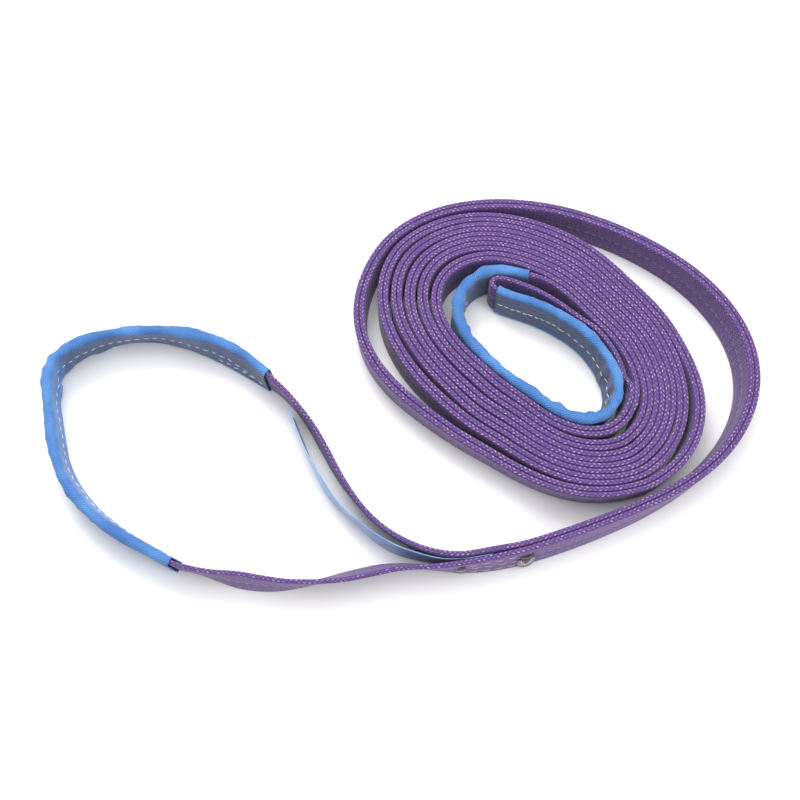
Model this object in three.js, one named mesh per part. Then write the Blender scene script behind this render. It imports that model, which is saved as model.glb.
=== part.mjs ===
// Flat web sling, duplex, with sleeved soft eyes, wound into an oval coil and standing on its
// lower webbing edge. Millimetres, +Z up, origin on the floor under the middle of the whole.
// The webbing is one woven length sewn into two layers; it is divided here by layer and by turn.
import * as THREE from 'three';

const WEB_WIDTH = 30;          // height of the webbing as it stands on edge
const PLY = 3.6;               // one layer of webbing
const PLY_PITCH = 4.04;        // centre to centre of the two layers
const SLEEVE_WIDTH = 33;       // outer height of a flattened eye sleeve
const SLEEVE_THICK = 6.8;      // outer thickness of a flattened eye sleeve
const SLEEVE_WALL = 0.9;
const LABEL_WIDTH = 25;
const LABEL_THICK = 0.9;
const LABEL_SEWN = 31;         // length of the label held between the layers of the splice
const END_GAP = 0.3;           // clearance between pieces that meet end to end
const TURN = 60;           // stations in one turn of the coil
const TURNS = 6;
const SEAM_THICK = 0.6;        // height of a sewing thread above the cloth
const ROW_WIDTH = 1.2;         // width of one row of stitches
const LIFT = 1.6;              // how far the sleeve's lower wall holds the webbing off the floor
const EYE_PARTS = 3;           // divisions of the height where the eye twists
const LIFT_RAMP = 34;          // length over which the webbing comes down to the floor

// Middle line of the body as [x, y, lean of the top edge to the outside in degrees], from the
// inner splice out through six turns and along the run to the outer splice.
const BODY = [
  [160.40,-3.26,6.6], [159.98,-10.42,7.4], [158.14,-17.28,8.1], [154.87,-23.42,8.7], [150.21,-28.57,9.3], [144.98,-32.96,9.7],
  [138.60,-35.02,10.1], [131.66,-35.68,10.4], [124.71,-35.09,10.6], [118.01,-33.46,10.7], [111.74,-31.01,10.6], [105.99,-27.99,10.5],
  [100.75,-24.66,10.2], [95.98,-21.21,9.9], [91.57,-17.75,9.4], [87.37,-14.40,8.9], [83.21,-11.24,8.3], [79.03,-8.24,7.6],
  [74.83,-5.22,6.9], [70.64,-1.99,6.1], [66.42,1.56,5.3], [62.06,5.46,4.5], [57.39,9.78,3.7], [52.19,14.61,3.0],
  [46.50,20.20,2.2], [40.66,26.85,1.6], [35.05,34.70,1.1], [30.13,43.80,0.7], [26.65,53.92,0.4], [25.49,64.51,0.2],
  [27.23,74.72,0.1], [32.00,83.69,0.0], [39.36,90.72,0.0], [48.50,95.56,0.0], [58.61,98.14,0.0], [69.14,98.38,0.0],
  [79.46,96.52,0.0], [88.89,93.38,0.0], [97.16,89.79,0.0], [104.33,86.14,0.0], [110.59,82.45,0.0], [116.06,78.65,0.0],
  [120.82,74.72,0.0], [124.94,70.77,0.0], [128.56,66.95,0.0], [131.79,63.31,0.0], [134.77,59.88,0.0], [137.60,56.59,0.0],
  [140.36,53.40,0.1], [143.16,50.25,0.2], [146.01,47.02,0.3], [148.94,43.62,0.6], [151.99,39.95,0.9], [155.02,35.88,1.4],
  [157.88,31.33,2.0], [160.58,26.26,2.7], [163.11,20.62,3.5], [165.46,14.33,4.3], [167.50,7.34,5.1], [168.93,-0.28,5.9],
  [169.41,-8.38,6.6], [168.60,-16.61,7.4], [166.27,-24.54,8.1], [162.34,-31.67,8.7], [156.87,-37.66,9.3], [150.60,-42.59,9.7],
  [143.03,-44.99,10.1], [134.93,-45.86,10.4], [126.83,-45.33,10.6], [119.03,-43.60,10.7], [111.71,-40.88,10.6], [104.98,-37.43,10.5],
  [98.85,-33.56,10.2], [93.26,-29.53,9.9], [88.07,-25.53,9.4], [83.10,-21.68,8.9], [78.15,-18.09,8.3], [73.12,-14.72,7.6],
  [68.12,-11.24,6.9], [63.23,-7.40,6.1], [58.43,-3.10,5.3], [53.55,1.64,4.5], [48.32,6.80,3.7], [42.61,12.54,3.0],
  [36.57,19.14,2.2], [30.51,26.83,1.6], [24.75,35.78,1.1], [19.86,45.97,0.7], [16.63,57.17,0.4], [15.84,68.80,0.2],
  [17.99,80.06,0.1], [23.32,90.00,0.0], [31.54,97.77,0.0], [41.61,103.20,0.0], [52.68,106.30,0.0], [64.11,107.10,0.0],
  [75.30,105.87,0.0], [85.72,103.13,0.0], [95.08,99.58,0.0], [103.32,95.77,0.0], [110.59,91.88,0.0], [117.03,87.87,0.0],
  [122.73,83.68,0.0], [127.73,79.34,0.0], [132.14,74.98,0.0], [136.07,70.72,0.0], [139.67,66.62,0.0], [143.08,62.67,0.0],
  [146.40,58.83,0.1], [149.76,55.05,0.2], [153.18,51.16,0.3], [156.69,47.07,0.6], [160.21,42.63,0.9], [163.57,37.71,1.4],
  [166.70,32.28,2.0], [169.60,26.29,2.7], [172.26,19.69,3.5], [174.61,12.44,4.3], [176.41,4.53,5.1], [177.39,-3.94,5.9],
  [177.26,-12.78,6.6], [175.76,-21.68,7.4], [172.74,-30.24,8.1], [168.13,-38.05,8.7], [162.01,-44.74,9.3], [155.01,-50.29,9.7],
  [146.60,-53.18,10.1], [137.63,-54.43,10.4], [128.62,-54.12,10.6], [119.88,-52.47,10.7], [111.62,-49.71,10.6], [103.98,-46.13,10.5],
  [96.97,-42.02,10.2], [90.56,-37.65,9.9], [84.59,-33.23,9.4], [78.84,-28.95,8.9], [73.08,-24.97,8.3], [67.17,-21.24,7.6],
  [61.33,-17.32,6.9], [55.66,-12.89,6.1], [50.10,-7.91,5.3], [44.46,-2.41,4.5], [38.48,3.59,3.7], [32.16,10.30,3.0],
  [25.74,17.97,2.2], [19.49,26.81,1.6], [13.84,36.91,1.1], [9.40,48.19,0.7], [6.90,60.33,0.4], [6.96,72.75,0.2],
  [9.96,84.70,0.1], [16.05,95.28,0.0], [25.06,103.60,0.0], [35.78,109.67,0.0], [47.47,113.47,0.0], [59.54,115.02,0.0],
  [71.45,114.49,0.0], [82.74,112.31,0.0], [93.07,109.03,0.0], [102.33,105.17,0.0], [110.59,101.09,0.0], [117.97,96.84,0.0],
  [124.58,92.40,0.0], [130.45,87.73,0.0], [135.67,82.91,0.0], [140.32,78.09,0.0], [144.56,73.35,0.0], [148.55,68.75,0.0],
  [152.43,64.27,0.1], [156.37,59.84,0.2], [160.35,55.30,0.3], [164.38,50.50,0.6], [168.31,45.27,0.9], [171.98,39.51,1.4],
  [175.36,33.21,2.0], [178.45,26.31,2.7], [181.19,18.79,3.5], [183.45,10.61,4.3], [184.99,1.81,5.1], [185.54,-7.48,5.9],
  [184.87,-17.08,6.6], [182.78,-26.68,7.4], [179.13,-35.92,8.1], [173.88,-44.37,8.7], [167.08,-51.67,9.3], [159.31,-57.72,9.7],
  [150.05,-60.99,10.1], [140.21,-62.53,10.4], [130.31,-62.43,10.6], [120.67,-60.92,10.7], [111.52,-58.24,10.6], [102.99,-54.64,10.5],
  [95.11,-50.38,10.2], [87.84,-45.76,9.9], [81.02,-41.05,9.4], [74.43,-36.46,8.9], [67.82,-32.13,8.3], [61.12,-27.98,7.6],
  [54.62,-23.42,6.9], [48.42,-18.22,6.1], [42.39,-12.40,5.3], [36.24,-6.10,4.5], [29.76,0.73,3.7], [23.00,8.33,3.0],
  [16.19,16.96,2.2], [9.63,26.80,1.6], [3.80,37.95,1.1], [-0.61,50.31,0.7], [-2.85,63.49,0.4], [-2.30,76.87,0.2],
  [1.35,89.67,0.1], [8.24,100.96,0.0], [18.14,109.84,0.0], [29.69,116.44,0.0], [42.16,120.78,0.0], [55.00,122.88,0.0],
  [67.71,122.90,0.0], [79.86,121.18,0.0], [91.12,118.17,0.0], [101.36,114.37,0.0], [110.59,110.15,0.0], [118.90,105.68,0.0],
  [126.40,100.96,0.0], [133.13,95.97,0.0], [139.15,90.75,0.0], [144.55,85.41,0.0], [149.46,80.10,0.0], [154.08,74.89,0.0],
  [158.54,69.77,0.1], [163.03,64.69,0.2], [167.54,59.45,0.3], [172.02,53.90,0.6], [176.32,47.88,0.9], [180.30,41.29,1.4],
  [183.92,34.12,2.0], [187.16,26.33,2.7], [189.95,17.89,3.5], [192.14,8.80,4.3], [193.51,-0.92,5.1], [193.82,-11.12,5.9],
  [192.79,-21.59,6.6], [190.20,-31.99,7.4], [185.88,-41.89,8.1], [179.83,-50.87,8.7], [172.19,-58.60,9.3], [163.55,-65.01,9.7],
  [153.41,-68.62,10.1], [142.73,-70.54,10.4], [132.00,-70.82,10.6], [121.49,-69.59,10.7], [111.43,-67.05,10.6], [101.98,-63.43,10.5],
  [93.19,-59.03,10.2], [85.03,-54.17,9.9], [77.38,-49.13,9.4], [70.02,-44.08,8.9], [62.66,-39.24,8.3], [55.17,-34.57,7.6],
  [47.83,-29.49,6.9], [40.64,-23.79,6.1], [33.51,-17.47,5.3], [26.24,-10.52,4.5], [18.85,-2.82,3.7], [11.52,5.87,3.0],
  [4.49,15.70,2.2], [-1.98,26.78,1.6], [-7.47,39.12,1.1], [-11.31,52.57,0.7], [-12.83,66.73,0.4], [-11.49,80.96,0.2],
  [-7.07,94.53,0.1], [0.60,106.50,0.0], [11.30,116.00,0.0], [23.60,123.20,0.0], [36.83,128.12,0.0], [50.44,130.78,0.0],
  [63.97,131.31,0.0], [76.99,130.00,0.0], [89.19,127.30,0.0], [100.38,123.70,0.0], [110.59,119.52,0.0], [119.87,114.88,0.0],
  [128.28,109.81,0.0], [135.86,104.37,0.0], [142.66,98.63,0.0], [148.77,92.72,0.0], [154.33,86.80,0.0], [159.55,80.96,0.0],
  [164.58,75.20,0.1], [169.63,69.48,0.2], [174.66,63.57,0.3], [179.61,57.29,0.6], [184.28,50.47,0.9], [188.57,43.06,1.4],
  [192.52,35.03,1.9], [196.21,26.34,2.5], [199.69,16.88,3.1], [202.76,6.57,3.7], [204.90,-4.55,4.2], [205.50,-16.18,4.7],
  [204.11,-27.92,5.3], [200.60,-39.27,5.9], [194.98,-49.77,6.7], [187.42,-58.95,7.5], [178.26,-66.60,8.3], [168.23,-72.90,9.1],
  [156.94,-76.54,9.8], [145.32,-78.73,10.4], [133.72,-79.42,10.9], [122.33,-78.59,11.2], [111.33,-76.35,11.4], [100.88,-72.95,11.5],
  [91.02,-68.74,11.5], [81.73,-64.01,11.3], [72.93,-58.93,11.1], [64.47,-53.57,10.8], [56.02,-48.23,10.4], [47.39,-42.99,9.9],
  [38.76,-37.35,9.4], [30.05,-31.12,8.8], [21.06,-24.23,8.1], [11.60,-16.59,7.4], [1.79,-7.92,6.6], [-7.87,2.14,5.9],
  [-16.62,13.80,5.1], [-23.56,27.01,4.4], [-27.87,41.41,3.7], [-29.11,56.43,3.0], [-27.34,71.47,2.3], [-22.96,86.08,1.8],
  [-16.43,99.92,1.3], [-7.56,112.41,0.8], [3.83,122.69,0.5], [16.78,130.76,0.3], [30.71,136.52,0.1], [44.97,140.23,0.1],
  [59.09,142.27,0.0], [72.80,142.90,0.0], [85.99,142.35,0.0], [98.58,140.89,0.0], [110.59,138.76,0.0], [121.93,135.84,0.0],
  [132.87,132.35,-0.0], [143.44,128.27,0.0], [153.79,123.83,0.0], [163.82,118.87,0.1], [173.57,113.42,0.2], [183.03,107.53,0.4],
  [192.17,101.16,0.7], [200.92,94.28,1.1], [209.18,86.86,1.7], [216.87,78.87,2.5], [223.88,70.28,3.5], [230.09,61.12,4.6],
  [235.40,51.45,5.8], [239.67,41.37,7.0], [242.75,30.98,8.1], [244.54,20.40,8.9], [244.95,9.76,9.5], [243.95,-0.81,9.8],
  [241.60,-11.20,9.9], [238.07,-21.09,10.0], [233.46,-30.52,10.0], [227.90,-39.43,9.9], [221.49,-47.75,9.7], [214.36,-55.45,9.2],
  [206.60,-62.53,8.5], [198.34,-69.02,7.4], [189.68,-74.95,6.1], [180.70,-80.39,4.6], [171.48,-85.42,3.1], [162.07,-90.08,1.7],
  [152.53,-94.46,0.4], [142.88,-98.60,-0.6], [133.16,-102.56,-1.4], [123.37,-106.38,-2.0], [113.54,-110.05,-2.4], [103.63,-113.53,-2.6],
  [93.64,-116.77,-2.6], [88.50,-118.29,-2.5],
];

// Middle line of the outer eye, from the inner layer at the splice round to the outer layer.
const OUTER_EYE = [
  [85.95,-116.90,-2.3], [78.68,-118.70,-2.1], [71.28,-120.05,-1.8], [63.81,-121.15,-1.2], [56.29,-122.25,-0.2], [48.77,-123.40,1.4],
  [41.28,-123.88,3.6], [33.86,-123.26,6.1], [26.54,-121.72,8.6], [19.37,-119.44,10.7], [12.38,-116.54,12.3], [5.45,-113.35,12.8],
  [-1.25,-109.61,13.0], [-7.71,-105.42,12.7], [-13.77,-100.70,12.2], [-19.36,-95.50,11.3], [-24.57,-89.99,10.0], [-29.35,-84.17,8.6],
  [-33.78,-78.10,7.0], [-38.01,-71.89,5.2], [-42.03,-65.53,3.5], [-45.74,-58.98,1.8], [-49.29,-52.33,0.8], [-52.87,-45.68,0.9],
  [-56.51,-39.07,1.0], [-60.28,-32.52,2.0], [-64.28,-26.11,3.5], [-68.57,-19.88,5.1], [-73.08,-13.81,6.0], [-78.03,-8.07,6.0],
  [-83.38,-2.69,6.0], [-88.97,2.42,5.3], [-94.84,7.21,3.9], [-100.66,12.02,0.6], [-106.71,16.53,-1.8], [-112.98,20.73,-3.1],
  [-119.45,24.61,-3.3], [-126.11,28.13,-2.4], [-132.94,31.29,-0.8], [-139.92,34.07,1.5], [-147.04,36.46,4.2], [-154.28,38.43,7.1],
  [-161.64,39.97,10.0], [-169.09,41.07,12.6], [-176.60,41.70,14.6], [-184.15,41.83,15.9], [-191.69,41.45,16.3], [-199.19,40.52,16.1],
  [-206.61,39.01,15.2], [-213.91,36.91,14.0], [-221.04,34.19,12.5], [-227.90,30.81,10.9], [-234.38,26.75,9.2], [-240.30,21.99,7.5],
  [-244.76,16.50,5.7], [-246.79,10.25,4.0], [-247.10,3.22,2.6], [-246.34,-4.41,1.6], [-244.88,-12.38,0.9], [-243.06,-20.41,0.5],
  [-241.24,-28.22,0.2], [-239.66,-35.59,-0.1], [-238.11,-42.62,-0.6], [-236.26,-49.48,-1.5], [-233.81,-56.32,-2.7], [-230.68,-63.13,-4.2],
  [-226.95,-69.83,-5.8], [-222.70,-76.31,-7.2], [-218.00,-82.50,-8.5], [-212.93,-88.28,-9.4], [-207.56,-93.57,-10.0], [-201.95,-98.35,-10.3],
  [-196.12,-102.71,-10.3], [-190.07,-106.74,-10.1], [-183.82,-110.54,-9.8], [-177.40,-114.20,-9.5], [-170.81,-117.82,-9.3], [-164.07,-121.50,-9.2],
  [-157.20,-125.31,-9.1], [-150.21,-128.91,-9.1], [-142.96,-130.93,-10.3], [-135.76,-132.53,-10.5], [-128.57,-134.34,-8.2], [-121.32,-136.11,-4.2],
  [-114.02,-137.64,0.8], [-106.68,-138.97,4.0], [-99.32,-140.15,3.4], [-91.93,-141.07,2.0], [-84.50,-141.65,-0.8], [-77.04,-141.87,-4.5],
  [-69.57,-141.44,-8.2], [-62.12,-140.65,-12.0], [-54.63,-139.74,-15.4], [-47.14,-138.49,-18.5], [-39.64,-136.99,-21.6], [-32.13,-135.36,-23.5],
  [-24.65,-133.66,-23.7], [-17.18,-132.02,-23.8], [-9.69,-130.68,-22.4], [-2.17,-129.87,-20.0], [5.36,-129.58,-18.1], [12.86,-129.64,-16.0],
  [20.36,-129.91,-13.6], [27.84,-129.91,-10.9], [35.31,-129.78,-7.6], [42.76,-129.39,-4.4], [50.21,-128.64,-1.8], [57.63,-127.54,-0.0],
  [65.04,-126.20,1.1], [72.43,-124.72,1.8], [79.80,-122.98,2.1], [87.15,-120.80,2.3],
];
const OUTER_SLEEVE = [32, 79];   // first and last station inside the sleeve

// Middle line of the inner eye, from the outer layer at the inner splice round to the inner layer.
const INNER_EYE = [
  [162.33,-1.99,-6.3], [161.25,5.43,-5.5], [159.31,12.67,-4.7], [156.67,19.68,-3.6], [153.41,26.44,-2.6], [149.50,32.83,-1.6],
  [144.99,38.82,-0.8], [140.14,44.54,-0.3], [135.21,50.19,-0.1], [130.31,55.87,-0.0], [125.38,61.52,-0.0], [120.21,66.95,-0.0],
  [114.64,71.98,-0.0], [108.62,76.44,0.0], [101.97,79.87,0.0], [94.82,82.14,0.0], [87.54,83.93,0.0], [80.24,85.65,0.0],
  [72.83,86.78,0.0], [70.23,86.85,0.0], [67.64,86.69,0.0], [65.07,86.27,0.0], [62.57,85.59,-0.0], [60.14,84.67,-0.0],
  [57.80,83.53,-0.0], [55.55,82.23,-0.0], [53.40,80.76,-0.0], [51.36,79.16,-0.0], [46.22,73.72,-0.0], [42.53,67.21,-0.0],
  [40.51,60.01,-0.0], [40.35,52.53,-0.1], [41.87,45.20,-0.2], [44.62,38.23,-0.5], [48.27,31.69,-1.0], [52.65,25.60,-1.7],
  [57.75,20.11,-2.5], [63.21,14.96,-3.5], [68.75,9.91,-4.6], [74.44,5.02,-5.8], [80.35,0.41,-7.0], [86.42,-4.00,-8.1],
  [92.40,-8.51,-9.0], [98.31,-13.14,-9.8], [104.35,-17.58,-10.3], [110.71,-21.55,-10.7], [117.48,-24.76,-10.8], [124.68,-26.83,-10.7],
  [132.14,-27.04,-10.4], [139.12,-24.44,-9.9], [144.58,-19.36,-9.3], [148.07,-12.76,-8.5], [149.42,-5.41,-7.7], [149.01,2.07,-6.7],
  [147.27,9.36,-5.7], [144.47,16.31,-4.5], [140.93,22.92,-3.2], [136.86,29.21,-2.0], [132.21,35.10,-1.0], [126.92,40.41,-0.4],
  [121.11,45.15,-0.1], [114.99,49.47,-0.0], [108.63,53.46,-0.0], [102.05,57.05,-0.0], [95.24,60.18,0.0], [88.25,62.90,0.0],
  [81.19,65.43,0.0], [74.22,68.19,0.0], [71.83,69.22,0.0], [69.54,70.46,0.0], [67.40,71.93,0.0], [65.69,73.86,0.0],
  [65.14,76.36,0.0], [66.26,78.65,0.0], [68.45,80.01,0.0], [71.00,80.45,0.0], [73.59,80.27,0.0], [76.12,79.70,0.0],
  [78.60,78.93,0.0], [81.05,78.04,0.0], [88.03,75.31,0.0], [94.86,72.22,0.0], [101.40,68.55,0.0], [107.68,64.45,-0.0],
  [113.74,60.03,-0.0], [119.57,55.31,-0.0], [125.23,50.40,-0.0], [131.22,45.89,-0.1], [137.23,41.41,-0.4], [142.22,35.83,-1.0],
  [146.67,29.79,-2.0], [150.48,23.34,-3.1], [153.60,16.52,-4.3], [156.08,9.44,-5.3], [157.75,2.14,-6.1], [158.28,-2.10,-6.5],
];
const INNER_SLEEVE = [16, 67];

// Middle line of the label, from its free tip to its sewn end.
const LABEL = [
  [-77.97,-18.12,-9.0], [-72.33,-31.11,-7.5], [-64.38,-50.62,-3.5], [-57.13,-65.44,-2.5], [-46.37,-82.53,-4.0], [-33.76,-94.79,-5.5],
  [-19.13,-108.22,-4.0], [-7.22,-115.87,-1.5], [12.50,-122.52,-4.0], [21.50,-124.72,-7.0], [30.50,-125.97,-8.7], [38.00,-126.42,-5.4],
  [45.50,-126.29,-2.9], [53.00,-125.50,-0.7], [60.50,-124.30,0.5],
];

const web = { color: 0x6f4a9c, roughness: 0.78, metalness: 0 };
const sleeveCloth = { color: 0x3d7cc4, roughness: 0.72, metalness: 0 };
const labelTape = { color: 0x8fb0dc, roughness: 0.5, metalness: 0 };
const thread = { color: 0xd8d2de, roughness: 0.6, metalness: 0 };
const greyThread = { color: 0x8f8a8c, roughness: 0.7, metalness: 0 };

const rad = (d) => d * Math.PI / 180;
const group = new THREE.Group();

// ---- lines -----------------------------------------------------------------------------------
function stations(table) {
  return table.map((r, i) => {
    const a = table[Math.max(0, i - 1)], b = table[Math.min(table.length - 1, i + 1)];
    const u = new THREE.Vector2(r[0] - a[0], r[1] - a[1]), v = new THREE.Vector2(b[0] - r[0], b[1] - r[1]);
    if (i === 0) u.copy(v);
    if (i === table.length - 1) v.copy(u);
    u.normalize(); v.normalize();
    const t = u.clone().add(v).normalize();
    const mitre = 1 / Math.max(0.8, Math.sqrt((1 + u.dot(v)) / 2));
    return { x: r[0], y: r[1], lean: r[2], t, n: new THREE.Vector2(-t.y, t.x), mitre };
  });
}
function lengths(line) {
  const s = [0];
  for (let i = 1; i < line.length; i++) s.push(s[i - 1] + Math.hypot(line[i].x - line[i - 1].x, line[i].y - line[i - 1].y));
  return s;
}
// A point of the line at a distance along it, between two stations.
function at(line, s, d) {
  let i = 1;
  while (i < line.length - 1 && s[i] < d) i++;
  const f = (d - s[i - 1]) / (s[i] - s[i - 1]), a = line[i - 1], b = line[i];
  const t = a.t.clone().lerp(b.t, f).normalize();
  return { x: a.x + (b.x - a.x) * f, y: a.y + (b.y - a.y) * f, lean: a.lean + (b.lean - a.lean) * f, t,
    n: new THREE.Vector2(-t.y, t.x), mitre: a.mitre + (b.mitre - a.mitre) * f };
}
// The stretch of a line from distance d0 to d1, keeping the stations between.
function stretch(line, d0, d1, spacing = 0) {
  const s = lengths(line), out = [at(line, s, d0)];
  if (spacing) {
    const n = Math.max(1, Math.round((d1 - d0) / spacing));
    for (let i = 1; i < n; i++) out.push(at(line, s, d0 + (d1 - d0) * i / n));
  } else for (let i = 0; i < line.length; i++) if (s[i] > d0 + 1.2 && s[i] < d1 - 1.2) out.push(line[i]);
  out.push(at(line, s, d1));
  return out;
}

// ---- solids ----------------------------------------------------------------------------------
// A section, in thickness and height, carried along a line. side moves it off the line towards
// the left of travel, up moves it along its own height, and lift raises it off the floor.
function carried(section, line, { side = 0, up = 0, high = WEB_WIDTH, thick = PLY, lift = () => 0 }) {
  const n = line.length - 1;
  const geo = new THREE.ExtrudeGeometry(section, { depth: n, steps: n, bevelEnabled: false });
  const p = geo.attributes.position;
  for (let k = 0; k < p.count; k++) {
    const i = Math.round(p.getZ(k)), q = line[i], l = rad(q.lean);
    const off = side / Math.cos(l), a = p.getX(k), b = p.getY(k) + up;
    const h = (off + a * Math.cos(l)) * q.mitre + b * Math.sin(l);
    const zc = high / 2 * Math.cos(l) + thick / 2 * Math.abs(Math.sin(l)) + lift(q, i);
    p.setXYZ(k, q.x + q.n.x * h, q.y + q.n.y * h, zc + b * Math.cos(l) - a * Math.sin(l));
  }
  geo.computeVertexNormals();
  return geo;
}
// A flat section; parts divides its height, so that a twisted stretch keeps its faces true.
function rect(w, h, parts = 1) {
  const s = new THREE.Shape();
  s.moveTo(-w / 2, -h / 2);
  for (let i = 0; i <= parts; i++) s.lineTo(w / 2, -h / 2 + h * i / parts);
  for (let i = parts; i > 0; i--) s.lineTo(-w / 2, -h / 2 + h * i / parts);
  s.closePath();
  return s;
}
function tubeSection(w, h, wall, parts) {
  const s = rect(w, h, parts), hole = new THREE.Path(), iw = w / 2 - wall, ih = h / 2 - wall;
  hole.moveTo(-iw, -ih);
  for (let i = 1; i <= parts; i++) hole.lineTo(-iw, -ih + 2 * ih * i / parts);
  for (let i = parts; i > 0; i--) hole.lineTo(iw, -ih + 2 * ih * i / parts);
  hole.lineTo(iw, -ih);
  hole.closePath();
  s.holes.push(hole);
  return s;
}
function add(name, geometry, look) {
  const mesh = new THREE.Mesh(geometry, new THREE.MeshStandardMaterial(look));
  mesh.name = name;
  group.add(mesh);
  return mesh;
}

// ---- body of the sling: two layers, six turns and the run -----------------------------------
const body = stations(BODY), bodyS = lengths(body);
const bodyEnd = bodyS[bodyS.length - 1];
for (const [layer, side] of [['inner', -PLY_PITCH / 2], ['outer', PLY_PITCH / 2]]) {
  for (let k = 0; k < TURNS; k++) {
    const d0 = bodyS[k * TURN] + END_GAP / 2, d1 = bodyS[(k + 1) * TURN] - END_GAP / 2;
    add(`${layer}_layer_turn_${k + 1}`, carried(rect(PLY, WEB_WIDTH), stretch(body, d0, d1), { side }), web);
  }
  add(`${layer}_layer_run`, carried(rect(PLY, WEB_WIDTH, 2), stretch(body, bodyS[TURNS * TURN] + END_GAP / 2, bodyEnd), { side }), web);
}

// ---- outer eye -------------------------------------------------------------------------------
const eye = stations(OUTER_EYE), eyeS = lengths(eye), eyeEnd = eyeS[eyeS.length - 1];
const eyeA = eyeS[OUTER_SLEEVE[0]], eyeB = eyeS[OUTER_SLEEVE[1]];
const smooth = (f) => f <= 0 ? 0 : f >= 1 ? 1 : f * f * (3 - 2 * f);
function lifted(d, a, b) { return LIFT * smooth((d - a + LIFT_RAMP) / LIFT_RAMP) * smooth((b + LIFT_RAMP - d) / LIFT_RAMP); }
function nearest(line, s) { return (q) => { let best = 0, m = 1e9; line.forEach((r, i) => { const d = Math.hypot(r.x - q.x, r.y - q.y); if (d < m) { m = d; best = i; } }); return s[best]; }; }
const eyeAll = stretch(eye, 0, eyeEnd);
add('outer_eye_web', carried(rect(PLY, WEB_WIDTH, EYE_PARTS), eyeAll, { lift: (q, i) => lifted(eyeS[Math.min(i, eyeS.length - 1)], eyeA, eyeB) }), web);
const outerSleeveLine = stretch(eye, eyeA, eyeB);
add('outer_eye_sleeve', carried(tubeSection(SLEEVE_THICK, SLEEVE_WIDTH, SLEEVE_WALL, EYE_PARTS), outerSleeveLine,
  { high: SLEEVE_WIDTH, thick: SLEEVE_THICK }), sleeveCloth);
const seamOff = SLEEVE_THICK / 2 + 0.3 + SEAM_THICK / 2;
add('outer_sleeve_seam_thread', carried(rect(SEAM_THICK, ROW_WIDTH), stretch(eye, eyeA + 3, eyeB - 3),
  { side: seamOff, high: SLEEVE_WIDTH, thick: SLEEVE_THICK }), thread);
add('outer_sleeve_end_thread', carried(rect(SEAM_THICK, ROW_WIDTH), stretch(eye, eyeA + 3, eyeA + 44),
  { side: seamOff, up: -8, high: SLEEVE_WIDTH, thick: SLEEVE_THICK }), thread);

// ---- inner eye -------------------------------------------------------------------------------
const eye2 = stations(INNER_EYE), eye2S = lengths(eye2), eye2End = eye2S[eye2S.length - 1];
const eye2A = eye2S[INNER_SLEEVE[0]], eye2B = eye2S[INNER_SLEEVE[1]];
add('inner_eye_web', carried(rect(PLY, WEB_WIDTH, 2), stretch(eye2, END_GAP / 2, eye2End - END_GAP / 2),
  { lift: (q, i) => lifted(eye2S[Math.min(i, eye2S.length - 1)], eye2A, eye2B) }), web);
add('inner_eye_sleeve', carried(tubeSection(SLEEVE_THICK, SLEEVE_WIDTH, SLEEVE_WALL, 2), stretch(eye2, eye2A, eye2B),
  { high: SLEEVE_WIDTH, thick: SLEEVE_THICK }), sleeveCloth);
add('inner_sleeve_seam_thread', carried(rect(SEAM_THICK, ROW_WIDTH), stretch(eye2, eye2A + 50, eye2B - 3),
  { side: seamOff, high: SLEEVE_WIDTH, thick: SLEEVE_THICK }), thread);

// ---- sewing at the splices -------------------------------------------------------------------
// The rows lie on the outer face of the outer layer, which is the last stretch of the eye line.
const faceOff = PLY / 2 + 0.3 + SEAM_THICK / 2;
const spliceA = eyeEnd - 44, spliceB = eyeEnd - 12;
[['splice_stitch_row_top', 8.5], ['splice_stitch_row_middle', 0], ['splice_stitch_row_bottom', -8.5]].forEach(([name, up]) => {
  add(name, carried(rect(SEAM_THICK, ROW_WIDTH), stretch(eye, spliceA, spliceB), { side: -faceOff, up }), thread);
});
add('bar_tack_run_end', carried(rect(1.0, 16), stretch(eye, eyeEnd - 11, eyeEnd - 3), { side: -faceOff - 0.2, up: -5 }), greyThread);
add('bar_tack_eye_end', carried(rect(0.8, 14), stretch(eye, spliceA - 9, spliceA - 1.5), { side: -faceOff - 0.1, up: -4 }), greyThread);
// Hidden rows of the inner splice, on the inner face of the inner layer just past the merge.
[['inner_splice_stitch_row_top', 8.5], ['inner_splice_stitch_row_bottom', -8.5]].forEach(([name, up]) => {
  add(name, carried(rect(SEAM_THICK, ROW_WIDTH), stretch(body, 4, 44), { side: -PLY_PITCH / 2 - faceOff, up }), thread);
});

// ---- label -----------------------------------------------------------------------------------
const label = stations(LABEL), labelS = lengths(label), labelEnd = labelS[labelS.length - 1];
const labelThroat = labelEnd - LABEL_SEWN;
add('label_flap', carried(rect(LABEL_THICK, LABEL_WIDTH, 2), stretch(label, 0, labelThroat - 0.5, 10),
  { high: LABEL_WIDTH, thick: LABEL_THICK }), labelTape);
add('label_sewn_end', carried(rect(LABEL_THICK, LABEL_WIDTH), stretch(label, labelThroat + 0.5, labelEnd, 8),
  { high: LABEL_WIDTH, thick: LABEL_THICK, lift: () => 2 }), labelTape);

export default group;
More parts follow.
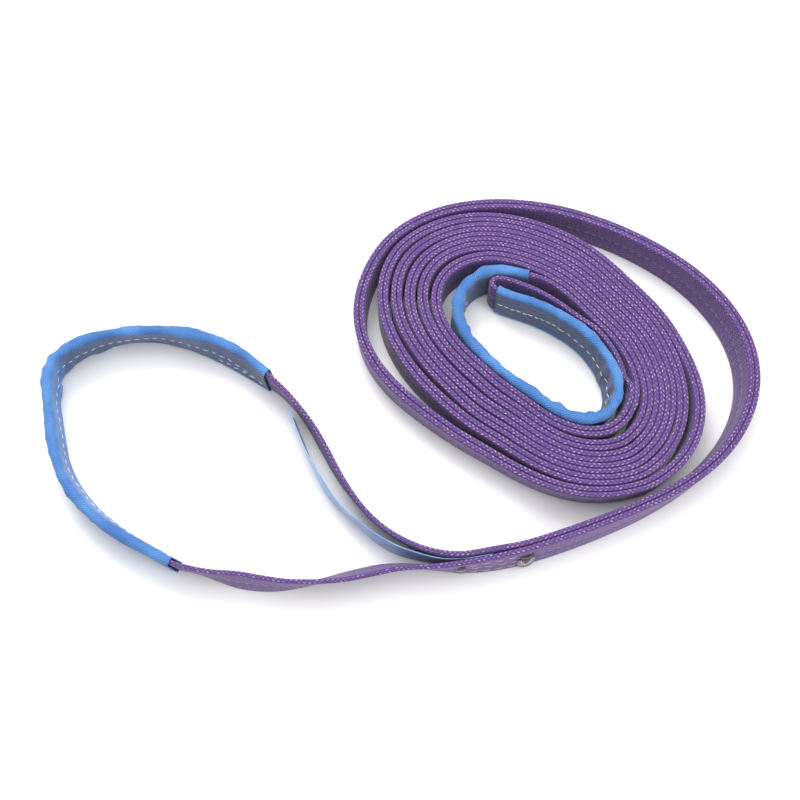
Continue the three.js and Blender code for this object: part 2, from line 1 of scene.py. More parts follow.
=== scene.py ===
import math
import bpy
import numpy as np
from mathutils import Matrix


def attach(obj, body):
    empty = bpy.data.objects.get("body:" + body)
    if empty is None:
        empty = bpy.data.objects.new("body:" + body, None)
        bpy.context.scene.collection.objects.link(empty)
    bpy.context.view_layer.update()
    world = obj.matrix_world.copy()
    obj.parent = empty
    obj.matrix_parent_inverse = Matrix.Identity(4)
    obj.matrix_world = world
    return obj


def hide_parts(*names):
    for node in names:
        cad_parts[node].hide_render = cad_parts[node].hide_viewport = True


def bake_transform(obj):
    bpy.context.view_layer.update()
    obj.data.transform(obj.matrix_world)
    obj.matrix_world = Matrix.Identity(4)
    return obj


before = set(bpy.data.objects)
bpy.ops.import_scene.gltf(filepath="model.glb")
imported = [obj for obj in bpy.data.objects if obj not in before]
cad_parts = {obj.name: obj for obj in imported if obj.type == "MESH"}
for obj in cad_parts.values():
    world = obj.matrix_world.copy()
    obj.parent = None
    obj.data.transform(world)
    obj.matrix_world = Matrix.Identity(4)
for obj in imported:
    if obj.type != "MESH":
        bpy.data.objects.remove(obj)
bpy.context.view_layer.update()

# ---------------------------------------------------------------- lines of the webbing, in metres
BODY = [
    (0.16040, -0.00326, 6.6), (0.15998, -0.01042, 7.4), (0.15814, -0.01728, 8.1), (0.15487, -0.02342, 8.7), (0.15021, -0.02857, 9.3),
    (0.14498, -0.03296, 9.7), (0.13860, -0.03502, 10.1), (0.13166, -0.03568, 10.4), (0.12471, -0.03509, 10.6), (0.11801, -0.03346, 10.7),
    (0.11174, -0.03101, 10.6), (0.10599, -0.02799, 10.5), (0.10075, -0.02466, 10.2), (0.09598, -0.02121, 9.9), (0.09157, -0.01775, 9.4),
    (0.08737, -0.01440, 8.9), (0.08321, -0.01124, 8.3), (0.07903, -0.00824, 7.6), (0.07483, -0.00522, 6.9), (0.07064, -0.00199, 6.1),
    (0.06642, 0.00156, 5.3), (0.06206, 0.00546, 4.5), (0.05739, 0.00978, 3.7), (0.05219, 0.01461, 3.0), (0.04650, 0.02020, 2.2),
    (0.04066, 0.02685, 1.6), (0.03505, 0.03470, 1.1), (0.03013, 0.04380, 0.7), (0.02665, 0.05392, 0.4), (0.02549, 0.06451, 0.2),
    (0.02723, 0.07472, 0.1), (0.03200, 0.08369, 0.0), (0.03936, 0.09072, 0.0), (0.04850, 0.09556, 0.0), (0.05861, 0.09814, 0.0),
    (0.06914, 0.09838, 0.0), (0.07946, 0.09652, 0.0), (0.08889, 0.09338, 0.0), (0.09716, 0.08979, 0.0), (0.10433, 0.08614, 0.0),
    (0.11059, 0.08245, 0.0), (0.11606, 0.07865, 0.0), (0.12082, 0.07472, 0.0), (0.12494, 0.07077, 0.0), (0.12856, 0.06695, 0.0),
    (0.13179, 0.06331, 0.0), (0.13477, 0.05988, 0.0), (0.13760, 0.05659, 0.0), (0.14036, 0.05340, 0.1), (0.14316, 0.05025, 0.2),
    (0.14601, 0.04702, 0.3), (0.14894, 0.04362, 0.6), (0.15199, 0.03995, 0.9), (0.15502, 0.03588, 1.4), (0.15788, 0.03133, 2.0),
    (0.16058, 0.02626, 2.7), (0.16311, 0.02062, 3.5), (0.16546, 0.01433, 4.3), (0.16750, 0.00734, 5.1), (0.16893, -0.00028, 5.9),
    (0.16941, -0.00838, 6.6), (0.16860, -0.01661, 7.4), (0.16627, -0.02454, 8.1), (0.16234, -0.03167, 8.7), (0.15687, -0.03766, 9.3),
    (0.15060, -0.04259, 9.7), (0.14303, -0.04499, 10.1), (0.13493, -0.04586, 10.4), (0.12683, -0.04533, 10.6), (0.11903, -0.04360, 10.7),
    (0.11171, -0.04088, 10.6), (0.10498, -0.03743, 10.5), (0.09885, -0.03356, 10.2), (0.09326, -0.02953, 9.9), (0.08807, -0.02553, 9.4),
    (0.08310, -0.02168, 8.9), (0.07815, -0.01809, 8.3), (0.07312, -0.01472, 7.6), (0.06812, -0.01124, 6.9), (0.06323, -0.00740, 6.1),
    (0.05843, -0.00310, 5.3), (0.05355, 0.00164, 4.5), (0.04832, 0.00680, 3.7), (0.04261, 0.01254, 3.0), (0.03657, 0.01914, 2.2),
    (0.03051, 0.02683, 1.6), (0.02475, 0.03578, 1.1), (0.01986, 0.04597, 0.7), (0.01663, 0.05717, 0.4), (0.01584, 0.06880, 0.2),
    (0.01799, 0.08006, 0.1), (0.02332, 0.09000, 0.0), (0.03154, 0.09777, 0.0), (0.04161, 0.10320, 0.0), (0.05268, 0.10630, 0.0),
    (0.06411, 0.10710, 0.0), (0.07530, 0.10587, 0.0), (0.08572, 0.10313, 0.0), (0.09508, 0.09958, 0.0), (0.10332, 0.09577, 0.0),
    (0.11059, 0.09188, 0.0), (0.11703, 0.08787, 0.0), (0.12273, 0.08368, 0.0), (0.12773, 0.07934, 0.0), (0.13214, 0.07498, 0.0),
    (0.13607, 0.07072, 0.0), (0.13967, 0.06662, 0.0), (0.14308, 0.06267, 0.0), (0.14640, 0.05883, 0.1), (0.14976, 0.05505, 0.2),
    (0.15318, 0.05116, 0.3), (0.15669, 0.04707, 0.6), (0.16021, 0.04263, 0.9), (0.16357, 0.03771, 1.4), (0.16670, 0.03228, 2.0),
    (0.16960, 0.02629, 2.7), (0.17226, 0.01969, 3.5), (0.17461, 0.01244, 4.3), (0.17641, 0.00453, 5.1), (0.17739, -0.00394, 5.9),
    (0.17726, -0.01278, 6.6), (0.17576, -0.02168, 7.4), (0.17274, -0.03024, 8.1), (0.16813, -0.03805, 8.7), (0.16201, -0.04474, 9.3),
    (0.15501, -0.05029, 9.7), (0.14660, -0.05318, 10.1), (0.13763, -0.05443, 10.4), (0.12862, -0.05412, 10.6), (0.11988, -0.05247, 10.7),
    (0.11162, -0.04971, 10.6), (0.10398, -0.04613, 10.5), (0.09697, -0.04202, 10.2), (0.09056, -0.03765, 9.9), (0.08459, -0.03323, 9.4),
    (0.07884, -0.02895, 8.9), (0.07308, -0.02497, 8.3), (0.06717, -0.02124, 7.6), (0.06133, -0.01732, 6.9), (0.05566, -0.01289, 6.1),
    (0.05010, -0.00791, 5.3), (0.04446, -0.00241, 4.5), (0.03848, 0.00359, 3.7), (0.03216, 0.01030, 3.0), (0.02574, 0.01797, 2.2),
    (0.01949, 0.02681, 1.6), (0.01384, 0.03691, 1.1), (0.00940, 0.04819, 0.7), (0.00690, 0.06033, 0.4), (0.00696, 0.07275, 0.2),
    (0.00996, 0.08470, 0.1), (0.01605, 0.09528, 0.0), (0.02506, 0.10360, 0.0), (0.03578, 0.10967, 0.0), (0.04747, 0.11347, 0.0),
    (0.05954, 0.11502, 0.0), (0.07145, 0.11449, 0.0), (0.08274, 0.11231, 0.0), (0.09307, 0.10903, 0.0), (0.10233, 0.10517, 0.0),
    (0.11059, 0.10109, 0.0), (0.11797, 0.09684, 0.0), (0.12458, 0.09240, 0.0), (0.13045, 0.08773, 0.0), (0.13567, 0.08291, 0.0),
    (0.14032, 0.07809, 0.0), (0.14456, 0.07335, 0.0), (0.14855, 0.06875, 0.0), (0.15243, 0.06427, 0.1), (0.15637, 0.05984, 0.2),
    (0.16035, 0.05530, 0.3), (0.16438, 0.05050, 0.6), (0.16831, 0.04527, 0.9), (0.17198, 0.03951, 1.4), (0.17536, 0.03321, 2.0),
    (0.17845, 0.02631, 2.7), (0.18119, 0.01879, 3.5), (0.18345, 0.01061, 4.3), (0.18499, 0.00181, 5.1), (0.18554, -0.00748, 5.9),
    (0.18487, -0.01708, 6.6), (0.18278, -0.02668, 7.4), (0.17913, -0.03592, 8.1), (0.17388, -0.04437, 8.7), (0.16708, -0.05167, 9.3),
    (0.15931, -0.05772, 9.7), (0.15005, -0.06099, 10.1), (0.14021, -0.06253, 10.4), (0.13031, -0.06243, 10.6), (0.12067, -0.06092, 10.7),
    (0.11152, -0.05824, 10.6), (0.10299, -0.05464, 10.5), (0.09511, -0.05038, 10.2), (0.08784, -0.04576, 9.9), (0.08102, -0.04105, 9.4),
    (0.07443, -0.03646, 8.9), (0.06782, -0.03213, 8.3), (0.06112, -0.02798, 7.6), (0.05462, -0.02342, 6.9), (0.04842, -0.01822, 6.1),
    (0.04239, -0.01240, 5.3), (0.03624, -0.00610, 4.5), (0.02976, 0.00073, 3.7), (0.02300, 0.00833, 3.0), (0.01619, 0.01696, 2.2),
    (0.00963, 0.02680, 1.6), (0.00380, 0.03795, 1.1), (-0.00061, 0.05031, 0.7), (-0.00285, 0.06349, 0.4), (-0.00230, 0.07687, 0.2),
    (0.00135, 0.08967, 0.1), (0.00824, 0.10096, 0.0), (0.01814, 0.10984, 0.0), (0.02969, 0.11644, 0.0), (0.04216, 0.12078, 0.0),
    (0.05500, 0.12288, 0.0), (0.06771, 0.12290, 0.0), (0.07986, 0.12118, 0.0), (0.09112, 0.11817, 0.0), (0.10136, 0.11437, 0.0),
    (0.11059, 0.11015, 0.0), (0.11890, 0.10568, 0.0), (0.12640, 0.10096, 0.0), (0.13313, 0.09597, 0.0), (0.13915, 0.09075, 0.0),
    (0.14455, 0.08541, 0.0), (0.14946, 0.08010, 0.0), (0.15408, 0.07489, 0.0), (0.15854, 0.06977, 0.1), (0.16303, 0.06469, 0.2),
    (0.16754, 0.05945, 0.3), (0.17202, 0.05390, 0.6), (0.17632, 0.04788, 0.9), (0.18030, 0.04129, 1.4), (0.18392, 0.03412, 2.0),
    (0.18716, 0.02633, 2.7), (0.18995, 0.01789, 3.5), (0.19214, 0.00880, 4.3), (0.19351, -0.00092, 5.1), (0.19382, -0.01112, 5.9),
    (0.19279, -0.02159, 6.6), (0.19020, -0.03199, 7.4), (0.18588, -0.04189, 8.1), (0.17983, -0.05087, 8.7), (0.17219, -0.05860, 9.3),
    (0.16355, -0.06501, 9.7), (0.15341, -0.06862, 10.1), (0.14273, -0.07054, 10.4), (0.13200, -0.07082, 10.6), (0.12149, -0.06959, 10.7),
    (0.11143, -0.06705, 10.6), (0.10198, -0.06343, 10.5), (0.09319, -0.05903, 10.2), (0.08503, -0.05417, 9.9), (0.07738, -0.04913, 9.4),
    (0.07002, -0.04408, 8.9), (0.06266, -0.03924, 8.3), (0.05517, -0.03457, 7.6), (0.04783, -0.02949, 6.9), (0.04064, -0.02379, 6.1),
    (0.03351, -0.01747, 5.3), (0.02624, -0.01052, 4.5), (0.01885, -0.00282, 3.7), (0.01152, 0.00587, 3.0), (0.00449, 0.01570, 2.2),
    (-0.00198, 0.02678, 1.6), (-0.00747, 0.03912, 1.1), (-0.01131, 0.05257, 0.7), (-0.01283, 0.06673, 0.4), (-0.01149, 0.08096, 0.2),
    (-0.00707, 0.09453, 0.1), (0.00060, 0.10650, 0.0), (0.01130, 0.11600, 0.0), (0.02360, 0.12320, 0.0), (0.03683, 0.12812, 0.0),
    (0.05044, 0.13078, 0.0), (0.06397, 0.13131, 0.0), (0.07699, 0.13000, 0.0), (0.08919, 0.12730, 0.0), (0.10038, 0.12370, 0.0),
    (0.11059, 0.11952, 0.0), (0.11987, 0.11488, 0.0), (0.12828, 0.10981, 0.0), (0.13586, 0.10437, 0.0), (0.14266, 0.09863, 0.0),
    (0.14877, 0.09272, 0.0), (0.15433, 0.08680, 0.0), (0.15955, 0.08096, 0.0), (0.16458, 0.07520, 0.1), (0.16963, 0.06948, 0.2),
    (0.17466, 0.06357, 0.3), (0.17961, 0.05729, 0.6), (0.18428, 0.05047, 0.9), (0.18857, 0.04306, 1.4), (0.19252, 0.03503, 1.9),
    (0.19621, 0.02634, 2.5), (0.19969, 0.01688, 3.1), (0.20276, 0.00657, 3.7), (0.20490, -0.00455, 4.2), (0.20550, -0.01618, 4.7),
    (0.20411, -0.02792, 5.3), (0.20060, -0.03927, 5.9), (0.19498, -0.04977, 6.7), (0.18742, -0.05895, 7.5), (0.17826, -0.06660, 8.3),
    (0.16823, -0.07290, 9.1), (0.15694, -0.07654, 9.8), (0.14532, -0.07873, 10.4), (0.13372, -0.07942, 10.9), (0.12233, -0.07859, 11.2),
    (0.11133, -0.07635, 11.4), (0.10088, -0.07295, 11.5), (0.09102, -0.06874, 11.5), (0.08173, -0.06401, 11.3), (0.07293, -0.05893, 11.1),
    (0.06447, -0.05357, 10.8), (0.05602, -0.04823, 10.4), (0.04739, -0.04299, 9.9), (0.03876, -0.03735, 9.4), (0.03005, -0.03112, 8.8),
    (0.02106, -0.02423, 8.1), (0.01160, -0.01659, 7.4), (0.00179, -0.00792, 6.6), (-0.00787, 0.00214, 5.9), (-0.01662, 0.01380, 5.1),
    (-0.02356, 0.02701, 4.4), (-0.02787, 0.04141, 3.7), (-0.02911, 0.05643, 3.0), (-0.02734, 0.07147, 2.3), (-0.02296, 0.08608, 1.8),
    (-0.01643, 0.09992, 1.3), (-0.00756, 0.11241, 0.8), (0.00383, 0.12269, 0.5), (0.01678, 0.13076, 0.3), (0.03071, 0.13652, 0.1),
    (0.04497, 0.14023, 0.1), (0.05909, 0.14227, 0.0), (0.07280, 0.14290, 0.0), (0.08599, 0.14235, 0.0), (0.09858, 0.14089, 0.0),
    (0.11059, 0.13876, 0.0), (0.12193, 0.13584, 0.0), (0.13287, 0.13235, -0.0), (0.14344, 0.12827, 0.0), (0.15379, 0.12383, 0.0),
    (0.16382, 0.11887, 0.1), (0.17357, 0.11342, 0.2), (0.18303, 0.10753, 0.4), (0.19217, 0.10116, 0.7), (0.20092, 0.09428, 1.1),
    (0.20918, 0.08686, 1.7), (0.21687, 0.07887, 2.5), (0.22388, 0.07028, 3.5), (0.23009, 0.06112, 4.6), (0.23540, 0.05145, 5.8),
    (0.23967, 0.04137, 7.0), (0.24275, 0.03098, 8.1), (0.24454, 0.02040, 8.9), (0.24495, 0.00976, 9.5), (0.24395, -0.00081, 9.8),
    (0.24160, -0.01120, 9.9), (0.23807, -0.02109, 10.0), (0.23346, -0.03052, 10.0), (0.22790, -0.03943, 9.9), (0.22149, -0.04775, 9.7),
    (0.21436, -0.05545, 9.2), (0.20660, -0.06253, 8.5), (0.19834, -0.06902, 7.4), (0.18968, -0.07495, 6.1), (0.18070, -0.08039, 4.6),
    (0.17148, -0.08542, 3.1), (0.16207, -0.09008, 1.7), (0.15253, -0.09446, 0.4), (0.14288, -0.09860, -0.6), (0.13316, -0.10256, -1.4),
    (0.12337, -0.10638, -2.0), (0.11354, -0.11005, -2.4), (0.10363, -0.11353, -2.6), (0.09364, -0.11677, -2.6), (0.08850, -0.11829, -2.5),
]
OUTER_EYE = [
    (0.08595, -0.11690, -2.3), (0.07868, -0.11870, -2.1), (0.07128, -0.12005, -1.8), (0.06381, -0.12115, -1.2), (0.05629, -0.12225, -0.2),
    (0.04877, -0.12340, 1.4), (0.04128, -0.12388, 3.6), (0.03386, -0.12326, 6.1), (0.02654, -0.12172, 8.6), (0.01937, -0.11944, 10.7),
    (0.01238, -0.11654, 12.3), (0.00545, -0.11335, 12.8), (-0.00125, -0.10961, 13.0), (-0.00771, -0.10542, 12.7), (-0.01377, -0.10070, 12.2),
    (-0.01936, -0.09550, 11.3), (-0.02457, -0.08999, 10.0), (-0.02935, -0.08417, 8.6), (-0.03378, -0.07810, 7.0), (-0.03801, -0.07189, 5.2),
    (-0.04203, -0.06553, 3.5), (-0.04574, -0.05898, 1.8), (-0.04929, -0.05233, 0.8), (-0.05287, -0.04568, 0.9), (-0.05651, -0.03907, 1.0),
    (-0.06028, -0.03252, 2.0), (-0.06428, -0.02611, 3.5), (-0.06857, -0.01988, 5.1), (-0.07308, -0.01381, 6.0), (-0.07803, -0.00807, 6.0),
    (-0.08338, -0.00269, 6.0), (-0.08897, 0.00242, 5.3), (-0.09484, 0.00721, 3.9), (-0.10066, 0.01202, 0.6), (-0.10671, 0.01653, -1.8),
    (-0.11298, 0.02073, -3.1), (-0.11945, 0.02461, -3.3), (-0.12611, 0.02813, -2.4), (-0.13294, 0.03129, -0.8), (-0.13992, 0.03407, 1.5),
    (-0.14704, 0.03646, 4.2), (-0.15428, 0.03843, 7.1), (-0.16164, 0.03997, 10.0), (-0.16909, 0.04107, 12.6), (-0.17660, 0.04170, 14.6),
    (-0.18415, 0.04183, 15.9), (-0.19169, 0.04145, 16.3), (-0.19919, 0.04052, 16.1), (-0.20661, 0.03901, 15.2), (-0.21391, 0.03691, 14.0),
    (-0.22104, 0.03419, 12.5), (-0.22790, 0.03081, 10.9), (-0.23438, 0.02675, 9.2), (-0.24030, 0.02199, 7.5), (-0.24476, 0.01650, 5.7),
    (-0.24679, 0.01025, 4.0), (-0.24710, 0.00322, 2.6), (-0.24634, -0.00441, 1.6), (-0.24488, -0.01238, 0.9), (-0.24306, -0.02041, 0.5),
    (-0.24124, -0.02822, 0.2), (-0.23966, -0.03559, -0.1), (-0.23811, -0.04262, -0.6), (-0.23626, -0.04948, -1.5), (-0.23381, -0.05632, -2.7),
    (-0.23068, -0.06313, -4.2), (-0.22695, -0.06983, -5.8), (-0.22270, -0.07631, -7.2), (-0.21800, -0.08250, -8.5), (-0.21293, -0.08828, -9.4),
    (-0.20756, -0.09357, -10.0), (-0.20195, -0.09835, -10.3), (-0.19612, -0.10271, -10.3), (-0.19007, -0.10674, -10.1), (-0.18382, -0.11054, -9.8),
    (-0.17740, -0.11420, -9.5), (-0.17081, -0.11782, -9.3), (-0.16407, -0.12150, -9.2), (-0.15720, -0.12531, -9.1), (-0.15021, -0.12891, -9.1),
    (-0.14296, -0.13093, -10.3), (-0.13576, -0.13253, -10.5), (-0.12857, -0.13434, -8.2), (-0.12132, -0.13611, -4.2), (-0.11402, -0.13764, 0.8),
    (-0.10668, -0.13897, 4.0), (-0.09932, -0.14015, 3.4), (-0.09193, -0.14107, 2.0), (-0.08450, -0.14165, -0.8), (-0.07704, -0.14187, -4.5),
    (-0.06957, -0.14144, -8.2), (-0.06212, -0.14065, -12.0), (-0.05463, -0.13974, -15.4), (-0.04714, -0.13849, -18.5), (-0.03964, -0.13699, -21.6),
    (-0.03213, -0.13536, -23.5), (-0.02465, -0.13366, -23.7), (-0.01718, -0.13202, -23.8), (-0.00969, -0.13068, -22.4), (-0.00217, -0.12987, -20.0),
    (0.00536, -0.12958, -18.1), (0.01286, -0.12964, -16.0), (0.02036, -0.12991, -13.6), (0.02784, -0.12991, -10.9), (0.03531, -0.12978, -7.6),
    (0.04276, -0.12939, -4.4), (0.05021, -0.12864, -1.8), (0.05763, -0.12754, -0.0), (0.06504, -0.12620, 1.1), (0.07243, -0.12472, 1.8),
    (0.07980, -0.12298, 2.1), (0.08715, -0.12080, 2.3),
]
OUTER_SLEEVE = (32, 79)
INNER_EYE = [
    (0.16233, -0.00199, -6.3), (0.16125, 0.00543, -5.5), (0.15931, 0.01267, -4.7), (0.15667, 0.01968, -3.6), (0.15341, 0.02644, -2.6),
    (0.14950, 0.03283, -1.6), (0.14499, 0.03882, -0.8), (0.14014, 0.04454, -0.3), (0.13521, 0.05019, -0.1), (0.13031, 0.05587, -0.0),
    (0.12538, 0.06152, -0.0), (0.12021, 0.06695, -0.0), (0.11464, 0.07198, -0.0), (0.10862, 0.07644, 0.0), (0.10197, 0.07987, 0.0),
    (0.09482, 0.08214, 0.0), (0.08754, 0.08393, 0.0), (0.08024, 0.08565, 0.0), (0.07283, 0.08678, 0.0), (0.07023, 0.08685, 0.0),
    (0.06764, 0.08669, 0.0), (0.06507, 0.08627, 0.0), (0.06257, 0.08559, -0.0), (0.06014, 0.08467, -0.0), (0.05780, 0.08353, -0.0),
    (0.05555, 0.08223, -0.0), (0.05340, 0.08076, -0.0), (0.05136, 0.07916, -0.0), (0.04622, 0.07372, -0.0), (0.04253, 0.06721, -0.0),
    (0.04051, 0.06001, -0.0), (0.04035, 0.05253, -0.1), (0.04187, 0.04520, -0.2), (0.04462, 0.03823, -0.5), (0.04827, 0.03169, -1.0),
    (0.05265, 0.02560, -1.7), (0.05775, 0.02011, -2.5), (0.06321, 0.01496, -3.5), (0.06875, 0.00991, -4.6), (0.07444, 0.00502, -5.8),
    (0.08035, 0.00041, -7.0), (0.08642, -0.00400, -8.1), (0.09240, -0.00851, -9.0), (0.09831, -0.01314, -9.8), (0.10435, -0.01758, -10.3),
    (0.11071, -0.02155, -10.7), (0.11748, -0.02476, -10.8), (0.12468, -0.02683, -10.7), (0.13214, -0.02704, -10.4), (0.13912, -0.02444, -9.9),
    (0.14458, -0.01936, -9.3), (0.14807, -0.01276, -8.5), (0.14942, -0.00541, -7.7), (0.14901, 0.00207, -6.7), (0.14727, 0.00936, -5.7),
    (0.14447, 0.01631, -4.5), (0.14093, 0.02292, -3.2), (0.13686, 0.02921, -2.0), (0.13221, 0.03510, -1.0), (0.12692, 0.04041, -0.4),
    (0.12111, 0.04515, -0.1), (0.11499, 0.04947, -0.0), (0.10863, 0.05346, -0.0), (0.10205, 0.05705, -0.0), (0.09524, 0.06018, 0.0),
    (0.08825, 0.06290, 0.0), (0.08119, 0.06543, 0.0), (0.07422, 0.06819, 0.0), (0.07183, 0.06922, 0.0), (0.06954, 0.07046, 0.0),
    (0.06740, 0.07193, 0.0), (0.06569, 0.07386, 0.0), (0.06514, 0.07636, 0.0), (0.06626, 0.07865, 0.0), (0.06845, 0.08001, 0.0),
    (0.07100, 0.08045, 0.0), (0.07359, 0.08027, 0.0), (0.07612, 0.07970, 0.0), (0.07860, 0.07893, 0.0), (0.08105, 0.07804, 0.0),
    (0.08803, 0.07531, 0.0), (0.09486, 0.07222, 0.0), (0.10140, 0.06855, 0.0), (0.10768, 0.06445, -0.0), (0.11374, 0.06003, -0.0),
    (0.11957, 0.05531, -0.0), (0.12523, 0.05040, -0.0), (0.13122, 0.04589, -0.1), (0.13723, 0.04141, -0.4), (0.14222, 0.03583, -1.0),
    (0.14667, 0.02979, -2.0), (0.15048, 0.02334, -3.1), (0.15360, 0.01652, -4.3), (0.15608, 0.00944, -5.3), (0.15775, 0.00214, -6.1),
    (0.15828, -0.00210, -6.5),
]
INNER_SLEEVE = (16, 67)
LABEL = [
    (-0.07797, -0.01812, -9.0), (-0.07233, -0.03111, -7.5), (-0.06438, -0.05062, -3.5), (-0.05713, -0.06544, -2.5), (-0.04637, -0.08253, -4.0),
    (-0.03376, -0.09479, -5.5), (-0.01913, -0.10822, -4.0), (-0.00722, -0.11587, -1.5), (0.01250, -0.12252, -4.0), (0.02150, -0.12472, -7.0),
    (0.03050, -0.12597, -8.7), (0.03800, -0.12642, -5.4), (0.04550, -0.12629, -2.9), (0.05300, -0.12550, -0.7), (0.06050, -0.12430, 0.5),
]

WEB, PLY, PITCH = 0.030, 0.00374, 0.00404
TURN = 60
FLECK, ROW = 0.0033, 0.0019          # weave repeat along the webbing, and across its edge
rng = np.random.default_rng(7)


# ---------------------------------------------------------------- camera, first
def look_at(obj, target):
    from mathutils import Vector
    d = Vector(target) - obj.location
    obj.rotation_euler = d.to_track_quat("-Z", "Y").to_euler()


cam = bpy.data.objects.new("camera", bpy.data.cameras.new("camera"))
bpy.context.collection.objects.link(cam)
cam.location = (-0.000496, -0.357897, 0.83682)
look_at(cam, (-0.000496, -0.015417, 0.030))
cam.data.lens, cam.data.sensor_width = 57.15, 36.0
cam.data.clip_start = 0.01
bpy.context.scene.camera = cam


# ---------------------------------------------------------------- curves
def arc(P):
    return np.concatenate([[0.0], np.cumsum(np.hypot(*np.diff(P, axis=0).T))])


def hermite(s, V, u):
    """Smooth curve through V at s, read at u."""
    d = np.gradient(V, s, axis=0)
    i = np.clip(np.searchsorted(s, u) - 1, 0, len(s) - 2)
    h = (s[i + 1] - s[i])[:, None]
    t = ((u - s[i]) / h[:, 0])[:, None]
    a, b, da, db = V[i], V[i + 1], d[i] * h, d[i + 1] * h
    return a * (2 * t**3 - 3 * t**2 + 1) + da * (t**3 - 2 * t**2 + t) + b * (-2 * t**3 + 3 * t**2) + db * (t**3 - t**2)


def soften(V, sigma, keep=True):
    n = int(3 * sigma + 1)
    k = np.exp(-0.5 * (np.arange(-n, n + 1) / sigma) ** 2)
    k /= k.sum()
    W = np.vstack([2 * V[0] - V[1:n + 1][::-1], V, 2 * V[-1] - V[-n - 1:-1][::-1]])
    return np.stack([np.convolve(W[:, c], k, "valid") for c in range(V.shape[1])], 1)


class Line:
    """A line on the floor plan with the lean of what stands on it, sampled evenly."""

    def __init__(self, table, step, s0=None, s1=None, smooth=2.5):
        T = np.array(table, float)
        s = arc(T[:, :2])
        s0, s1 = (0.0 if s0 is None else s0), (s[-1] if s1 is None else s1)
        n = max(3, int(round((s1 - s0) / step)))
        u = np.linspace(s0, s1, n + 1)
        V = hermite(s, T, u)
        if smooth:
            e0, e1 = V[0].copy(), V[-1].copy()
            V = soften(V, smooth)
            V[0], V[-1] = e0, e1
        self.set(V[:, :2], np.radians(V[:, 2]), u)

    def set(self, P, lean, u):
        self.P, self.lean, self.s = P, lean, u
        t = np.gradient(P, axis=0)
        t /= np.linalg.norm(t, axis=1)[:, None]
        self.t, self.n = t, np.stack([-t[:, 1], t[:, 0]], 1)

    def at(self, u):
        k = lambda a: np.interp(u, self.s, a)
        t = np.stack([k(self.t[:, 0]), k(self.t[:, 1])], -1)
        t /= np.linalg.norm(t, axis=-1)[..., None]
        P = np.stack([k(self.P[:, 0]), k(self.P[:, 1])], -1)
        return P, t, np.stack([-t[..., 1], t[..., 0]], -1), k(self.lean)


def offset_table(table, side):
    """The table moved sideways, as a layer of the two lies."""
    T = np.array(table, float)
    t = np.gradient(T[:, :2], axis=0)
    t /= np.linalg.norm(t, axis=1)[:, None]
    n = np.stack([-t[:, 1], t[:, 0]], 1)
    T[:, :2] += n * (side / np.cos(np.radians(T[:, 2])))[:, None]
    return T


def place(line, A, B, high, thick, lift=0.0):
    """Points of a section (thickness A, height B, one row per station) carried along the line."""
    c, s = np.cos(line.lean)[:, None], np.sin(line.lean)[:, None]
    h = A * c + B * s
    zc = high / 2 * c + thick / 2 * np.abs(s) + np.reshape(lift, (-1, 1))
    x = line.P[:, 0:1] + line.n[:, 0:1] * h
    y = line.P[:, 1:2] + line.n[:, 1:2] * h
    return np.stack([x, y, zc + B * c - A * s], -1)


def solid(name, V, U, Vv, caps=True, mats=()):
    """A closed skin through V[station, point]; U and Vv give its cloth coordinates (Vv has one more column)."""
    n, m = V.shape[:2]
    me = bpy.data.meshes.new(name)
    i, j = np.meshgrid(np.arange(n - 1), np.arange(m), indexing="ij")
    j1 = (j + 1) % m
    Q = np.stack([i * m + j, i * m + j1, (i + 1) * m + j1, (i + 1) * m + j], -1).reshape(-1, 4)
    u = np.stack([U[i], U[i], U[i + 1], U[i + 1]], -1).reshape(-1, 4)
    v = np.stack([Vv[j], Vv[j + 1], Vv[j + 1], Vv[j]], -1).reshape(-1, 4)
    # outward faces
    P = V.reshape(-1, 3)
    a, b, c, d = (P[Q[:, k]] for k in range(4))
    vol = np.einsum("ij,ij->i", a, np.cross(b, c)).sum() + np.einsum("ij,ij->i", a, np.cross(c, d)).sum()
    if vol < 0:
        Q, u, v = Q[:, ::-1], u[:, ::-1], v[:, ::-1]
    flip = vol < 0
    nq = len(Q)
    loops, counts, uv = [Q.reshape(-1)], [np.full(nq, 4)], [np.stack([u.reshape(-1), v.reshape(-1)], -1)]
    if caps:
        for st, rev in ((0, flip), (n - 1, not flip)):
            idx = st * m + np.arange(m)
            vv = Vv[:m]
            if not rev:
                idx, vv = idx[::-1], vv[::-1]
            loops.append(idx)
            counts.append(np.array([m]))
            uv.append(np.stack([np.full(m, U[st]), vv], -1))
    loops, counts, uv = np.concatenate(loops), np.concatenate(counts), np.concatenate(uv)
    me.vertices.add(len(P))
    me.vertices.foreach_set("co", P.astype(np.float32).ravel())
    me.loops.add(len(loops))
    me.loops.foreach_set("vertex_index", loops.astype(np.int32))
    me.polygons.add(len(counts))
    me.polygons.foreach_set("loop_start", (np.cumsum(counts) - counts).astype(np.int32))
    me.polygons.foreach_set("loop_total", counts.astype(np.int32))
    me.update(calc_edges=True)
    me.polygons.foreach_set("use_smooth", np.concatenate([np.ones(nq, bool), np.zeros(len(counts) - nq, bool)]))
    me.uv_layers.new(name="weave").data.foreach_set("uv", uv.astype(np.float32).ravel())
    me.validate()
    ob = bpy.data.objects.new(name, me)
    bpy.context.collection.objects.link(ob)
    for mt in mats:
        me.materials.append(mt)
    return ob


